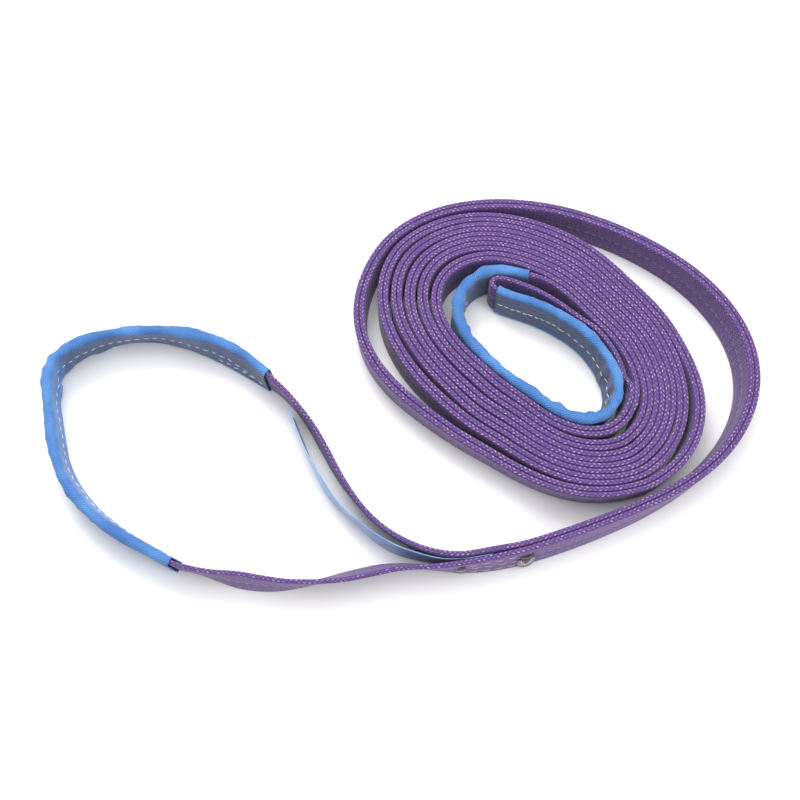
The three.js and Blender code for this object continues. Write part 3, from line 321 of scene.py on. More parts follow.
# ---------------------------------------------------------------- section of one layer of webbing
def ply_section(w=PLY, h=WEB, r=0.00125):
    pts = []
    top = h / 2 - r
    for k in range(9):                                   # upper edge, from one shoulder to the other
        a = math.pi * k / 8
        pts.append((w / 2 * math.cos(a), top + r * math.sin(a) ** 0.7 if 0 < k < 8 else top))
    for b in (0.0100, 0.0058, 0.0010, 0.0, -0.0010, -0.0058, -0.0100):
        pts.append((-w / 2, b))
    for k in range(7):
        a = math.pi * k / 6
        pts.append((-w / 2 * math.cos(a), -top - r * math.sin(a) ** 0.7 if 0 < k < 6 else -top))
    for b in (-0.0100, -0.0058, -0.0010, 0.0, 0.0010, 0.0058, 0.0100):
        pts.append((w / 2, b))
    return np.array(pts)


def ring_coordinate(S, start):
    """Distance round the section from the top middle, negative on one side and positive on the other."""
    m = len(S)
    R = np.vstack([S, S[:1]])
    d = np.concatenate([[0.0], np.cumsum(np.hypot(*np.diff(R, axis=0).T))])
    total = d[-1]
    v = d - d[start]
    v = (v + total / 2) % total - total / 2
    return v, total / 2


def outward(S):
    R = np.roll(S, -1, axis=0) - np.roll(S, 1, axis=0)
    R /= np.linalg.norm(R, axis=1)[:, None]
    N = np.stack([R[:, 1], -R[:, 0]], 1)
    if (N * S).sum() < 0:
        N = -N
    return N


SEC = ply_section()
SEC_N = outward(SEC)
# cloth coordinate per column, with the wrap column opened so that each quad reads without a jump
_m = len(SEC)
_R = np.vstack([SEC, SEC[:1]])
_d = np.concatenate([[0.0], np.cumsum(np.hypot(*np.diff(_R, axis=0).T))])
HALF = _d[-1] / 2
SEC_V = _d - _d[4]                    # 0 at the top middle; runs to about the whole ring
# the lower edge is read by its distance from the bottom middle, so the wrap does no harm


def fold_v(v):
    """Signed distance from the nearer edge's middle."""
    w = (v + HALF) % (2 * HALF) - HALF
    e = np.minimum(np.abs(w), HALF - np.abs(w))
    return e * np.sign(w)


def fleck(s, v):
    se = fold_v(v)
    row = np.floor(se / ROW)
    par = np.mod(row, 2)
    sh = s + par * FLECK / 2
    k = np.floor(sh / FLECK)
    ds, dp = sh - (k + 0.5) * FLECK, se - (row + 0.5) * ROW
    g = 1 - 2 * par
    c, sn = math.cos(0.5), math.sin(0.5)
    x, y = ds * c + dp * g * sn, dp * c - ds * g * sn
    q = (x / 0.0013) ** 2 + (y / 0.0006) ** 2
    edge = np.clip((0.0042 - np.abs(se)) / 0.0012, 0, 1)
    return np.clip(1 - q, 0, 1) * edge, edge


def web_strip(name, line, s_from=0.0, lift=0.0, mat=None, thin=1.0):
    n = len(line.s)
    u = line.s - line.s[0] + s_from
    S2, V2 = np.meshgrid(u, SEC_V[:_m], indexing="ij")
    f, edge = fleck(S2, V2)
    rib = np.cos(2 * math.pi * S2 / FLECK) * (1 - edge) * 0.00006
    groove = -0.00016 * np.exp(-(SEC[:, 1] / 0.0009) ** 2)[None, :] * (np.abs(SEC[:, 0]) > PLY * 0.45)[None, :]
    d = f * 0.00024 * (SEC_N[None, :, 1] ** 2) + rib * 0.6 + groove
    A = (SEC[None, :, 0] + SEC_N[None, :, 0] * d) * np.reshape(thin, (-1, 1))
    B = SEC[None, :, 1] + SEC_N[None, :, 1] * d
    V = place(line, A, B, WEB, PLY, lift)
    V[..., 2] = np.maximum(V[..., 2], 0.00001)           # the lower edge rests on the floor
    return solid(name, V, u, SEC_V, mats=[mat])


# ---------------------------------------------------------------- materials
class Shade:
    def __init__(self, name, uv=True):
        self.mat = bpy.data.materials.new(name)
        self.mat.use_nodes = True
        self.nt = self.mat.node_tree
        self.bsdf = self.nt.nodes["Principled BSDF"]
        if uv:
            u = self.node("ShaderNodeUVMap")
            u.uv_map = "weave"
            x = self.node("ShaderNodeSeparateXYZ")
            self.link(u.outputs[0], x.inputs[0])
            self.s, self.v = x.outputs[0], x.outputs[1]
        self.obj = self.node("ShaderNodeTexCoord").outputs["Object"]

    def node(self, kind):
        return self.nt.nodes.new(kind)

    def link(self, a, b):
        self.nt.links.new(a, b)

    def put(self, x, sock):
        if isinstance(x, (int, float)):
            sock.default_value = x
        elif isinstance(x, (tuple, list)):
            sock.default_value = tuple(x) + ((1.0,) if len(x) == 3 and len(sock.default_value) == 4 else ())
        else:
            self.link(x, sock)

    def m(self, op, a, b=None, c=None, clamp=False):
        n = self.node("ShaderNodeMath")
        n.operation, n.use_clamp = op, clamp
        for k, x in enumerate((a, b, c)):
            if x is not None:
                self.put(x, n.inputs[k])
        return n.outputs[0]

    def ramp(self, x, lo, hi, a=0.0, b=1.0, smooth=True):
        n = self.node("ShaderNodeMapRange")
        n.interpolation_type = "SMOOTHSTEP" if smooth else "LINEAR"
        for k, y in enumerate((x, lo, hi, a, b)):
            self.put(y, n.inputs[k])
        return n.outputs[0]

    def mix(self, f, a, b):
        n = self.node("ShaderNodeMix")
        n.data_type = "RGBA"
        n.clamp_factor = True
        self.put(f, n.inputs[0])
        self.put(a, n.inputs[6])
        self.put(b, n.inputs[7])
        return n.outputs[2]

    def vec(self, x, y, z=0.0):
        n = self.node("ShaderNodeCombineXYZ")
        for k, q in enumerate((x, y, z)):
            self.put(q, n.inputs[k])
        return n.outputs[0]

    def noise(self, vec, scale, detail=2.0, rough=0.5):
        n = self.node("ShaderNodeTexNoise")
        self.put(vec, n.inputs["Vector"])
        n.inputs["Scale"].default_value = scale
        n.inputs["Detail"].default_value = detail
        n.inputs["Roughness"].default_value = rough
        return n.outputs[0]

    def random(self, vec):
        n = self.node("ShaderNodeTexWhiteNoise")
        self.put(vec, n.inputs["Vector"])
        return n.outputs[0]

    def cos(self, x, pitch):
        return self.m("COSINE", self.m("MULTIPLY", x, 2 * math.pi / pitch))

    def bump(self, height, distance, strength=1.0):
        b = self.node("ShaderNodeBump")
        b.inputs["Strength"].default_value = strength
        b.inputs["Distance"].default_value = distance
        self.link(height, b.inputs["Height"])
        self.link(b.outputs[0], self.bsdf.inputs["Normal"])

    def finish(self, color, rough, sheen=0.0, spec=0.3, sheen_rough=0.4, sheen_tint=(1, 1, 1, 1)):
        b = self.bsdf.inputs
        self.put(color, b["Base Color"])
        self.put(rough, b["Roughness"])
        b["Sheen Weight"].default_value = sheen
        b["Sheen Roughness"].default_value = sheen_rough
        b["Sheen Tint"].default_value = sheen_tint
        b["Specular IOR Level"].default_value = spec
        return self.mat


def webbing_material(name, deep, mid, light, pale, fleck_c, seed=0.0):
    g = Shade(name)
    s0, v = g.s, g.v
    wander = g.noise(g.vec(g.m("ADD", g.m("MULTIPLY", s0, 55.0), seed), g.m("MULTIPLY", v, 180.0)), 1.0, 2.0)
    s = g.m("ADD", s0, g.m("MULTIPLY", g.m("SUBTRACT", wander, 0.5), 0.0016))
    w = g.m("SUBTRACT", g.m("FLOORED_MODULO", g.m("ADD", v, HALF), 2 * HALF), HALF)
    aw = g.m("ABSOLUTE", w)
    e = g.m("MINIMUM", aw, g.m("SUBTRACT", HALF, aw))
    sgn = g.m("SIGN", w)
    se = g.m("MULTIPLY", e, sgn)
    row = g.m("FLOOR", g.m("DIVIDE", se, ROW))
    par = g.m("FLOORED_MODULO", row, 2.0)
    sh = g.m("ADD", s, g.m("MULTIPLY", par, FLECK / 2))
    k = g.m("FLOOR", g.m("DIVIDE", sh, FLECK))
    ds = g.m("SUBTRACT", sh, g.m("MULTIPLY", g.m("ADD", k, 0.5), FLECK))
    dp = g.m("SUBTRACT", se, g.m("MULTIPLY", g.m("ADD", row, 0.5), ROW))
    gs = g.m("SUBTRACT", 1.0, g.m("MULTIPLY", par, 2.0))
    c, sn = math.cos(0.5), math.sin(0.5)
    x = g.m("ADD", g.m("MULTIPLY", ds, c), g.m("MULTIPLY", g.m("MULTIPLY", dp, gs), sn))
    y = g.m("SUBTRACT", g.m("MULTIPLY", dp, c), g.m("MULTIPLY", g.m("MULTIPLY", ds, gs), sn))
    q = g.m("ADD", g.m("POWER", g.m("DIVIDE", x, 0.00125), 2.0), g.m("POWER", g.m("DIVIDE", y, 0.00052), 2.0))
    body = g.m("SUBTRACT", 1.0, q, clamp=True)
    edge = g.ramp(e, 0.0042, 0.0030)
    rnd = g.random(g.vec(g.m("ADD", k, seed), row, sgn))
    fl = g.m("MULTIPLY", g.m("MULTIPLY", body, edge), g.m("ADD", 0.16, g.m("MULTIPLY", g.m("POWER", rnd, 1.8), 0.95)))
    # faces: cross ribs, and short weave floats lying across them
    rib = g.m("ADD", 0.5, g.m("MULTIPLY", g.cos(s, FLECK), 0.5))
    row2 = g.m("FLOOR", g.m("DIVIDE", w, 0.0017))
    par2 = g.m("FLOORED_MODULO", row2, 2.0)
    sh2 = g.m("ADD", s, g.m("MULTIPLY", par2, FLECK / 2))
    k2 = g.m("FLOOR", g.m("DIVIDE", sh2, FLECK))
    dx = g.m("DIVIDE", g.m("SUBTRACT", sh2, g.m("MULTIPLY", g.m("ADD", k2, 0.5), FLECK)), 0.00115)
    dy = g.m("DIVIDE", g.m("SUBTRACT", w, g.m("MULTIPLY", g.m("ADD", row2, 0.5), 0.0017)), 0.00085)
    fb = g.m("SUBTRACT", 1.0, g.m("ADD", g.m("MULTIPLY", dx, dx), g.m("MULTIPLY", dy, dy)), clamp=True)
    rnd2 = g.random(g.vec(g.m("ADD", k2, seed + 31), row2, 2.0))
    face = g.m("SUBTRACT", 1.0, edge)
    fb = g.m("MULTIPLY", g.m("MULTIPLY", fb, face), g.m("ADD", 0.35, g.m("MULTIPLY", rnd2, 0.65)))
    # rows of sewing that hold the two layers together, as dashes in a shallow groove
    face_mid = g.m("SUBTRACT", aw, HALF / 2)
    groove = g.m("MULTIPLY", g.ramp(g.m("ABSOLUTE", face_mid), 0.0011, 0.0004), face)
    low = g.m("MULTIPLY", g.ramp(g.m("ABSOLUTE", g.m("ADD", face_mid, -0.0088)), 0.0009, 0.0003), face)
    dash = g.ramp(g.m("COSINE", g.m("MULTIPLY", s0, 2 * math.pi / 0.0062)), -0.25, 0.1)
    big = g.noise(g.obj, 38.0, 3.0, 0.6)
    cloud = g.noise(g.obj, 9.0, 2.0)
    fine = g.noise(g.vec(g.m("MULTIPLY", s0, 1600.0), g.m("MULTIPLY", v, 2600.0)), 1.0, 2.0, 0.7)
    col = g.mix(g.m("ADD", g.m("MULTIPLY", big, 0.55), g.m("MULTIPLY", fine, 0.45)), deep, mid)
    yarn = g.noise(g.vec(g.m("MULTIPLY", s0, 260.0), g.m("MULTIPLY", v, 900.0), seed + 4.0), 1.0, 2.0, 0.6)
    col = g.mix(g.m("MULTIPLY", g.ramp(yarn, 0.46, 0.66), 0.55), col, (0.060, 0.034, 0.235))
    col = g.mix(g.m("MULTIPLY", g.ramp(yarn, 0.48, 0.30), 0.38), col, (0.175, 0.050, 0.165))
    col = g.mix(g.m("MULTIPLY", face, g.m("ADD", 0.25, g.m("MULTIPLY", g.ramp(cloud, 0.35, 0.65), 0.35))), col, pale)
    col = g.mix(g.m("MULTIPLY", g.m("MULTIPLY", face, g.m("SUBTRACT", 1.0, rib)), 0.35), col, deep)
    col = g.mix(g.m("MULTIPLY", fb, 0.55), col, light)
    # painted shade: the groove of the sewing rows is darkened toward the deep colour
    col = g.mix(g.m("MULTIPLY", groove, 0.55), col, deep)
    col = g.mix(g.m("MULTIPLY", g.m("MULTIPLY", g.m("ADD", groove, g.m("MULTIPLY", low, 0.8)), dash), 0.30), col, fleck_c)
    col = g.mix(g.m("MULTIPLY", fl, 1.0), col, fleck_c)
    # painted shade: the edge is darkened between the flecks, toward the deep colour
    fleck_gap_shade = g.m("MULTIPLY", g.m("MULTIPLY", g.m("SUBTRACT", 1.0, body), edge), g.ramp(g.noise(g.vec(g.m("MULTIPLY", s, 900.0), g.m("MULTIPLY", v, 900.0)), 1.0, 1.0), 0.45, 0.75))
    col = g.mix(g.m("MULTIPLY", fleck_gap_shade, 0.45), col, deep)
    h = g.m("ADD", g.m("MULTIPLY", fl, 1.0), g.m("MULTIPLY", fb, 0.55))
    h = g.m("ADD", h, g.m("MULTIPLY", g.m("MULTIPLY", rib, face), 0.35))
    h = g.m("SUBTRACT", h, g.m("MULTIPLY", groove, 0.8))
    h = g.m("ADD", h, g.m("MULTIPLY", fine, 0.22))
    g.bump(h, 0.00035, 0.9)
    rough = g.m("SUBTRACT", 0.74, g.m("MULTIPLY", g.m("ADD", fl, fb), 0.22))
    return g.finish(col, rough, sheen=0.18, spec=0.35)


def sleeve_material(name, base, light, inner_shade_grey, dark, half, inner_shade_amount=1.0, u0=0.0):
    g = Shade(name)
    s, v = g.s, g.v
    w = g.m("SUBTRACT", g.m("FLOORED_MODULO", g.m("ADD", v, half), 2 * half), half)
    aw = g.m("ABSOLUTE", w)
    bend = g.noise(g.vec(g.m("MULTIPLY", s, 60.0), g.m("MULTIPLY", v, 60.0)), 1.0, 2.0)
    t = g.m("ADD", g.m("ADD", s, g.m("MULTIPLY", w, 0.95)), g.m("MULTIPLY", g.m("SUBTRACT", bend, 0.5), 0.0040))
    tw = g.m("ADD", 0.5, g.m("MULTIPLY", g.cos(t, 0.0021), 0.5))
    cross = g.m("ADD", 0.5, g.m("MULTIPLY", g.cos(g.m("SUBTRACT", s, g.m("MULTIPLY", aw, 1.1)), 0.0013), 0.5))
    streak = g.noise(g.vec(g.m("MULTIPLY", t, 700.0), g.m("MULTIPLY", v, 40.0)), 1.0, 2.0, 0.6)
    big = g.noise(g.obj, 30.0, 3.0, 0.6)
    # painted shade: the inner face is mixed toward a grey-blue that stands in for the shade falling on it
    inside = g.m("MULTIPLY", g.ramp(g.m("MULTIPLY", w, -1.0), 0.0028, 0.0065), g.ramp(aw, half - 0.0015, half - 0.006))
    col = g.mix(g.ramp(big, 0.3, 0.75), base, light)
    col = g.mix(g.m("MULTIPLY", g.m("SUBTRACT", 1.0, tw), g.m("ADD", 0.20, g.m("MULTIPLY", g.ramp(streak, 0.35, 0.7), 0.28))), col, dark)
    col = g.mix(g.m("MULTIPLY", g.ramp(streak, 0.5, 0.8), 0.35), col, light)
    # with u0 set, the painted shade is kept to the stretch before u0, the top arc of the outer eye
    inside = g.m("MULTIPLY", inside, g.ramp(s, u0, u0 - 0.022)) if u0 else inside
    col = g.mix(g.m("MULTIPLY", inside, 0.80 * inner_shade_amount), col, inner_shade_grey)
    worn = g.ramp(g.noise(g.obj, 110.0, 3.0, 0.7), 0.58, 0.8)
    col = g.mix(g.m("MULTIPLY", worn, 0.18), col, light)
    h = g.m("ADD", g.m("MULTIPLY", tw, 0.8), g.m("MULTIPLY", cross, 0.25))
    h = g.m("ADD", h, g.m("MULTIPLY", streak, 0.3))
    g.bump(h, 0.00034, 0.9)
    rough = g.m("ADD", 0.62, g.m("MULTIPLY", g.m("SUBTRACT", 1.0, tw), 0.22))
    return g.finish(col, rough, sheen=0.22, spec=0.4)


def thread_material(name, a, b, pitch=0.0009):
    g = Shade(name)
    ply = g.m("ADD", 0.5, g.m("MULTIPLY", g.cos(g.m("ADD", g.s, g.m("MULTIPLY", g.v, 1.0)), pitch), 0.5))
    n = g.noise(g.obj, 900.0, 2.0)
    col = g.mix(g.m("MULTIPLY", g.m("SUBTRACT", 1.0, ply), 0.6), a, b)
    col = g.mix(g.m("MULTIPLY", g.ramp(n, 0.5, 0.8), 0.3), col, b)
    g.bump(g.m("ADD", ply, g.m("MULTIPLY", n, 0.4)), 0.00012, 0.8)
    return g.finish(col, g.m("ADD", 0.42, g.m("MULTIPLY", n, 0.25)), sheen=0.2, spec=0.4)


def label_material(name, base, light, dark, length, half):
    g = Shade(name)
    w = g.m("SUBTRACT", g.m("FLOORED_MODULO", g.m("ADD", g.v, half), 2 * half), half)
    aw = g.m("ABSOLUTE", w)
    grain = g.m("ADD", 0.5, g.m("MULTIPLY", g.cos(g.s, 0.0006), 0.5))
    n = g.noise(g.obj, 60.0, 3.0)
    col = g.mix(g.ramp(n, 0.35, 0.7), base, light)
    col = g.mix(g.m("MULTIPLY", g.m("SUBTRACT", 1.0, grain), 0.12), col, dark)
    # two plain printed bars, near where the tape enters the splice
    bars = None
    for u, vv, du, dv in ((length - 0.056, 0.0088, 0.0035, 0.0011), (length - 0.047, 0.0088, 0.0022, 0.0011), (length - 0.052, 0.0125, 0.0060, 0.0007)):
        b = g.m("MULTIPLY", g.ramp(g.m("ABSOLUTE", g.m("SUBTRACT", g.s, u)), du, du * 0.8), g.ramp(g.m("ABSOLUTE", g.m("SUBTRACT", aw, vv)), dv, dv * 0.7))
        bars = b if bars is None else g.m("MAXIMUM", bars, b)
    speck = g.ramp(g.noise(g.vec(g.m("MULTIPLY", g.s, 1500.0), g.m("MULTIPLY", g.v, 1500.0)), 1.0, 1.0), 0.35, 0.5)
    col = g.mix(g.m("MULTIPLY", g.m("MULTIPLY", bars, speck), 0.9), col, (0.03, 0.03, 0.05))
    hem = g.ramp(g.m("ABSOLUTE", g.m("SUBTRACT", aw, 0.0018)), 0.0006, 0.0002)
    col = g.mix(g.m("MULTIPLY", hem, 0.15), col, dark)
    g.bump(g.m("ADD", g.m("MULTIPLY", grain, 0.5), g.m("MULTIPLY", n, 0.5)), 0.00012, 0.6)
    return g.finish(col, g.m("ADD", 0.36, g.m("MULTIPLY", n, 0.2)), sheen=0.1, spec=0.5)


def floor_material(albedo):
    g = Shade("floor_paper", uv=False)
    n = g.noise(g.obj, 6.0, 2.0)
    f = g.noise(g.obj, 400.0, 2.0)
    col = g.mix(n, tuple(x * 0.985 for x in albedo), albedo)
    g.bump(f, 0.00005, 0.3)
    return g.finish(col, g.m("ADD", 0.80, g.m("MULTIPLY", n, 0.05)), spec=0.1)


WEBBING = webbing_material("violet_webbing", (0.040, 0.018, 0.092), (0.098, 0.048, 0.190), (0.22, 0.13, 0.33), (0.118, 0.060, 0.205), (0.44, 0.29, 0.50))
SLEEVE_HALF = 0.0385
# the third colour of each sleeve is the grey-blue painted shade of its inner face
CLOTHS = [sleeve_material("blue_twill", (0.034, 0.130, 0.37), (0.085, 0.235, 0.54), (0.062, 0.068, 0.118), (0.012, 0.058, 0.20), SLEEVE_HALF, u0=0.178),
          sleeve_material("blue_twill_inner_eye", (0.036, 0.140, 0.39), (0.090, 0.250, 0.56), (0.060, 0.064, 0.105), (0.012, 0.060, 0.20), SLEEVE_HALF)]
THREAD = thread_material("white_thread", (0.80, 0.82, 0.88), (0.45, 0.46, 0.56))
LILAC = thread_material("lilac_thread", (0.50, 0.44, 0.52), (0.27, 0.21, 0.32))
GREY = thread_material("grey_thread", (0.20, 0.165, 0.19), (0.085, 0.060, 0.08))
DARK = thread_material("dark_thread", (0.045, 0.030, 0.035), (0.015, 0.010, 0.015))

# ---------------------------------------------------------------- webbing of the coil
T = np.array(BODY)
S_ALL = arc(T[:, :2])
S6 = S_ALL[6 * TURN]
STEP = 0.0011
inner_line = Line(offset_table(BODY, -PITCH / 2), STEP)
outer_line = Line(offset_table(BODY, PITCH / 2), STEP)


def cut(line, a, b):
    """The stretch of a line between two of its samples nearest the body distances a and b."""
    new = object.__new__(Line)
    new.set(line.P[a:b + 1], line.lean[a:b + 1], line.s[a:b + 1])
    new.t, new.n = line.t[a:b + 1], line.n[a:b + 1]
    return new


def nearest_sample(line, p):
    return int(np.argmin(np.hypot(*(line.P - p).T)))


K0 = 22                                       # samples of each layer that are woven on with the inner eye
layers = []
for nm, line, side in (("inner", inner_line, -PITCH / 2), ("outer", outer_line, PITCH / 2)):
    end = offset_table(BODY, side)[6 * TURN, :2]
    cand = np.where(line.s > line.s[-1] * 0.85)[0]
    k6 = cand[0] + int(np.argmin(np.hypot(*(line.P[cand] - end).T)))
    coil = cut(line, K0, k6)
    ob = web_strip("coil_%s_layer_web" % nm, coil, mat=WEBBING)
    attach(ob, "coil")
    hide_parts(*["%s_layer_turn_%d" % (nm, k) for k in range(1, 7)])
    layers.append((ob, line, k6))

# ---------------------------------------------------------------- webbing of the inner eye
head = lambda line: np.column_stack([line.P[0:K0 + 1:6 if K0 % 6 == 0 else 11], np.degrees(line.lean[0:K0 + 1:6 if K0 % 6 == 0 else 11])])
_e = np.array(INNER_EYE)
_first, _last = inner_line, outer_line
if np.hypot(*(_e[0, :2] - outer_line.P[0])) < np.hypot(*(_e[0, :2] - inner_line.P[0])):
    _first, _last = outer_line, inner_line
h0, h1 = head(_first)[::-1].copy(), head(_last)
h0[:, 2] *= -1
_t2 = np.vstack([h0[:-1], _e, h1[1:]]) if np.hypot(*(_e[0, :2] - _first.P[0])) > 0.002 else np.vstack([h0[:-1], _e[0:1], _e[1:-1], h1])
L2 = Line(_t2, 0.0008, smooth=1.6)
off2 = arc(_t2[:, :2])[len(h0) - 1]
LIFT, RAMP = 0.0016, 0.034
smooth01 = lambda f: np.clip(f, 0, 1) ** 2 * (3 - 2 * np.clip(f, 0, 1))
s2 = arc(np.array(INNER_EYE)[:, :2])
A2, B2 = s2[INNER_SLEEVE[0]], s2[INNER_SLEEVE[1]]
lift2 = LIFT * smooth01((L2.s - off2 - A2 + RAMP) / RAMP) * smooth01((B2 + RAMP - L2.s + off2) / RAMP)
far2 = smooth01((L2.s - off2) / 0.03) * smooth01((L2.s[-1] - off2 - L2.s) / 0.03)
ob = web_strip("inner_eye_web_strip", L2, s_from=0.5, lift=lift2, mat=WEBBING, thin=1 - 0.07 * far2)
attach(ob, "coil")
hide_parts("inner_eye_web")

# ---------------------------------------------------------------- the run and the outer eye, one length
run_in, run_out = offset_table(BODY, -PITCH / 2), offset_table(BODY, PITCH / 2)
E = np.array(OUTER_EYE)


def run_part(line, k6):
    step = 6
    idx = list(range(k6, len(line.s) - 1, step)) + [len(line.s) - 1]
    return np.column_stack([line.P[idx], np.degrees(line.lean[idx])])


ri, ro = run_part(layers[0][1], layers[0][2]), run_part(layers[1][1], layers[1][2])
ro_back = ro[::-1].copy()
ro_back[:, 2] *= -1
table = np.vstack([ri[:-1], E[1:-1], ro_back[1:]])
L1 = Line(table, STEP, smooth=2.5)
sE = arc(table[:, :2])
off_eye = sE[len(ri) - 1] - arc(E[:, :2])[1]          # line distance = eye distance + this
eA, eB = arc(E[:, :2])[OUTER_SLEEVE[0]] + off_eye, arc(E[:, :2])[OUTER_SLEEVE[1]] + off_eye
lift1 = LIFT * smooth01((L1.s - eA + RAMP) / RAMP) * smooth01((eB + RAMP - L1.s) / RAMP)
far1 = smooth01((L1.s - off_eye - 0.05) / 0.04) * smooth01((arc(E[:, :2])[-1] + off_eye - 0.05 - L1.s) / 0.04)
ob = web_strip("run_and_outer_eye_web", L1, s_from=5.0, lift=lift1, mat=WEBBING, thin=1 - 0.13 * far1)
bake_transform(ob)
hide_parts("inner_layer_run", "outer_layer_run", "outer_eye_web")


# ---------------------------------------------------------------- sleeves
def sleeve_ring(aw, bh, n_top=13, n_side=15, n_bot=11):
    pts = []
    r = aw
    top = bh - r
    for k in range(n_top):
        a = math.pi * k / (n_top - 1)
        pts.append((aw * math.cos(a), top + r * math.sin(a)))
    for k in range(1, n_side + 1):
        pts.append((-aw, top - 2 * top * k / (n_side + 1)))
    for k in range(n_bot):
        a = math.pi * k / (n_bot - 1)
        pts.append((-aw * math.cos(a), -top - r * math.sin(a)))
    for k in range(1, n_side + 1):
        pts.append((aw, -top + 2 * top * k / (n_side + 1)))
    return np.array(pts)


def bumps(S, V, items):
    d = np.zeros_like(S)
    for s0, v0, ws, wv, amp, tilt in items:
        d += amp * np.exp(-((S - s0 + tilt * (V - v0)) / ws) ** 2) * np.exp(-((V - v0) / wv) ** 2)
    return d


def sleeve(name, line_table, sa, sb, aw, seed, scallops, hug=False, node=None, smooth=3.0):
    line = Line(line_table, 0.0014, sa, sb, smooth=smooth)
    R = sleeve_ring(aw, 0.01645)
    N = outward(R)
    m, n = len(R), len(line.s)
    ring = np.vstack([R, R[:1]])
    d = np.concatenate([[0.0], np.cumsum(np.hypot(*np.diff(ring, axis=0).T))])
    half = d[-1] / 2
    V = d - d[6]
    w = (V[:m] + half) % (2 * half) - half
    s = line.s - line.s[0]
    L = s[-1]
    SS, WW = np.meshgrid(s, w, indexing="ij")
    r = np.random.default_rng(seed)
    # how hard the sleeve is bent, and to which side
    ang = np.unwrap(np.arctan2(line.t[:, 1], line.t[:, 0]))
    kap = np.gradient(ang, line.s)
    k = np.ones(13) / 13
    kap = np.convolve(np.pad(kap, 6, "edge"), k, "valid")
    hollow = np.clip(kap, 0, 40) / 25.0                      # bends to the left: cloth bunches on the left face
    # cross folds: on the bunched face everywhere it bends, faint elsewhere
    d0 = np.zeros_like(SS)
    pos = 0.004
    while pos < L - 0.004:
        i = int(np.searchsorted(s, pos))
        h = float(np.clip(hollow[min(i, n - 1)], 0, 2.2))
        amp = (0.00022 + 0.00075 * h) * r.uniform(0.5, 1.25)
        wid = r.uniform(0.0026, 0.0050)
        v0 = r.uniform(-0.012, 0.012)
        wv = r.uniform(0.008, 0.020)
        vv = -(half / 2) + v0
        d0 += amp * np.exp(-((SS - pos + r.uniform(-0.5, 0.5) * (WW - vv)) / wid) ** 2) * np.exp(-((WW - vv) / wv) ** 2)
        # the fold also shows as a small rise over the upper edge
        d0 += 0.35 * amp * np.exp(-((SS - pos - r.uniform(-0.002, 0.002)) / wid) ** 2) * np.exp(-(WW / 0.007) ** 2)
        pos += r.uniform(0.0062, 0.0125)
    d0 += bumps(SS, WW, scallops)
    # slow swell of the loose cloth
    for _ in range(7):
        f, p = r.uniform(9, 26), r.uniform(0, 6.3)
        d0 += 0.00016 * np.sin(2 * math.pi * f * SS + p + r.uniform(-60, 60) * WW)
    # sharp drawn creases, slanting, strongest where the cloth is bunched
    bunch = np.convolve(np.pad(np.clip(np.abs(kap), 0, 45) / 30.0, 10, "edge"), np.ones(21) / 21, "valid")[:, None]
    for _ in range(9):
        lam, th, p = r.uniform(0.009, 0.017), r.uniform(-0.7, 0.7), r.uniform(0, 6.3)
        c0, wd = r.uniform(0.1, 0.9) * L, r.uniform(0.03, 0.08)
        q = (SS + th * WW) / lam * 2 * math.pi + p + 1.5 * np.sin(WW * 120 + p)
        ridge = (1 - np.abs(np.sin(q / 2))) ** 2 - 0.3
        d0 += ridge * (0.00018 + 0.00050 * bunch) * np.exp(-((SS - c0) / wd) ** 2)
    if hug:                                                  # the outer face lies against the first turn
        right = WW > 0.004
        d0 = np.where(right, np.minimum(d0, 0.00005), d0)
    d0 = np.maximum(d0, -(0.0001 + 0.0005 * np.abs(N[None, :, 0])))   # never into the webbing inside
    d0 = np.where(N[None, :, 1] < -0.3, np.maximum(d0, 0.0005), d0)
    ends = np.minimum(1, np.minimum(SS, L - SS) / 0.004)
    d0 = d0 * (0.35 + 0.65 * ends)
    d0 += 0.0003 * np.exp(-(np.minimum(SS, L - SS) / 0.0012) ** 2)
    A, B = R[None, :, 0] + N[None, :, 0] * d0, R[None, :, 1] + N[None, :, 1] * d0
    wall = 0.0008
    Ai, Bi = A - N[None, :, 0] * wall, B - N[None, :, 1] * wall
    VO = place(line, A, B, 0.033, 2 * aw)
    VI = place(line, Ai, Bi, 0.033, 2 * aw)
    VO[..., 2] = np.maximum(VO[..., 2], 0.00002)
    VI[..., 2] = np.maximum(VI[..., 2], 0.0006)
    G = np.concatenate([VO, VI[::-1]])
    U = np.concatenate([s, s[::-1]])
    ob = solid_torus(name, G, U, V)
    ob.data.materials.append(CLOTHS[1 if hug else 0])
    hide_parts(node)
    return ob, line, (s, w, d0, R, N)


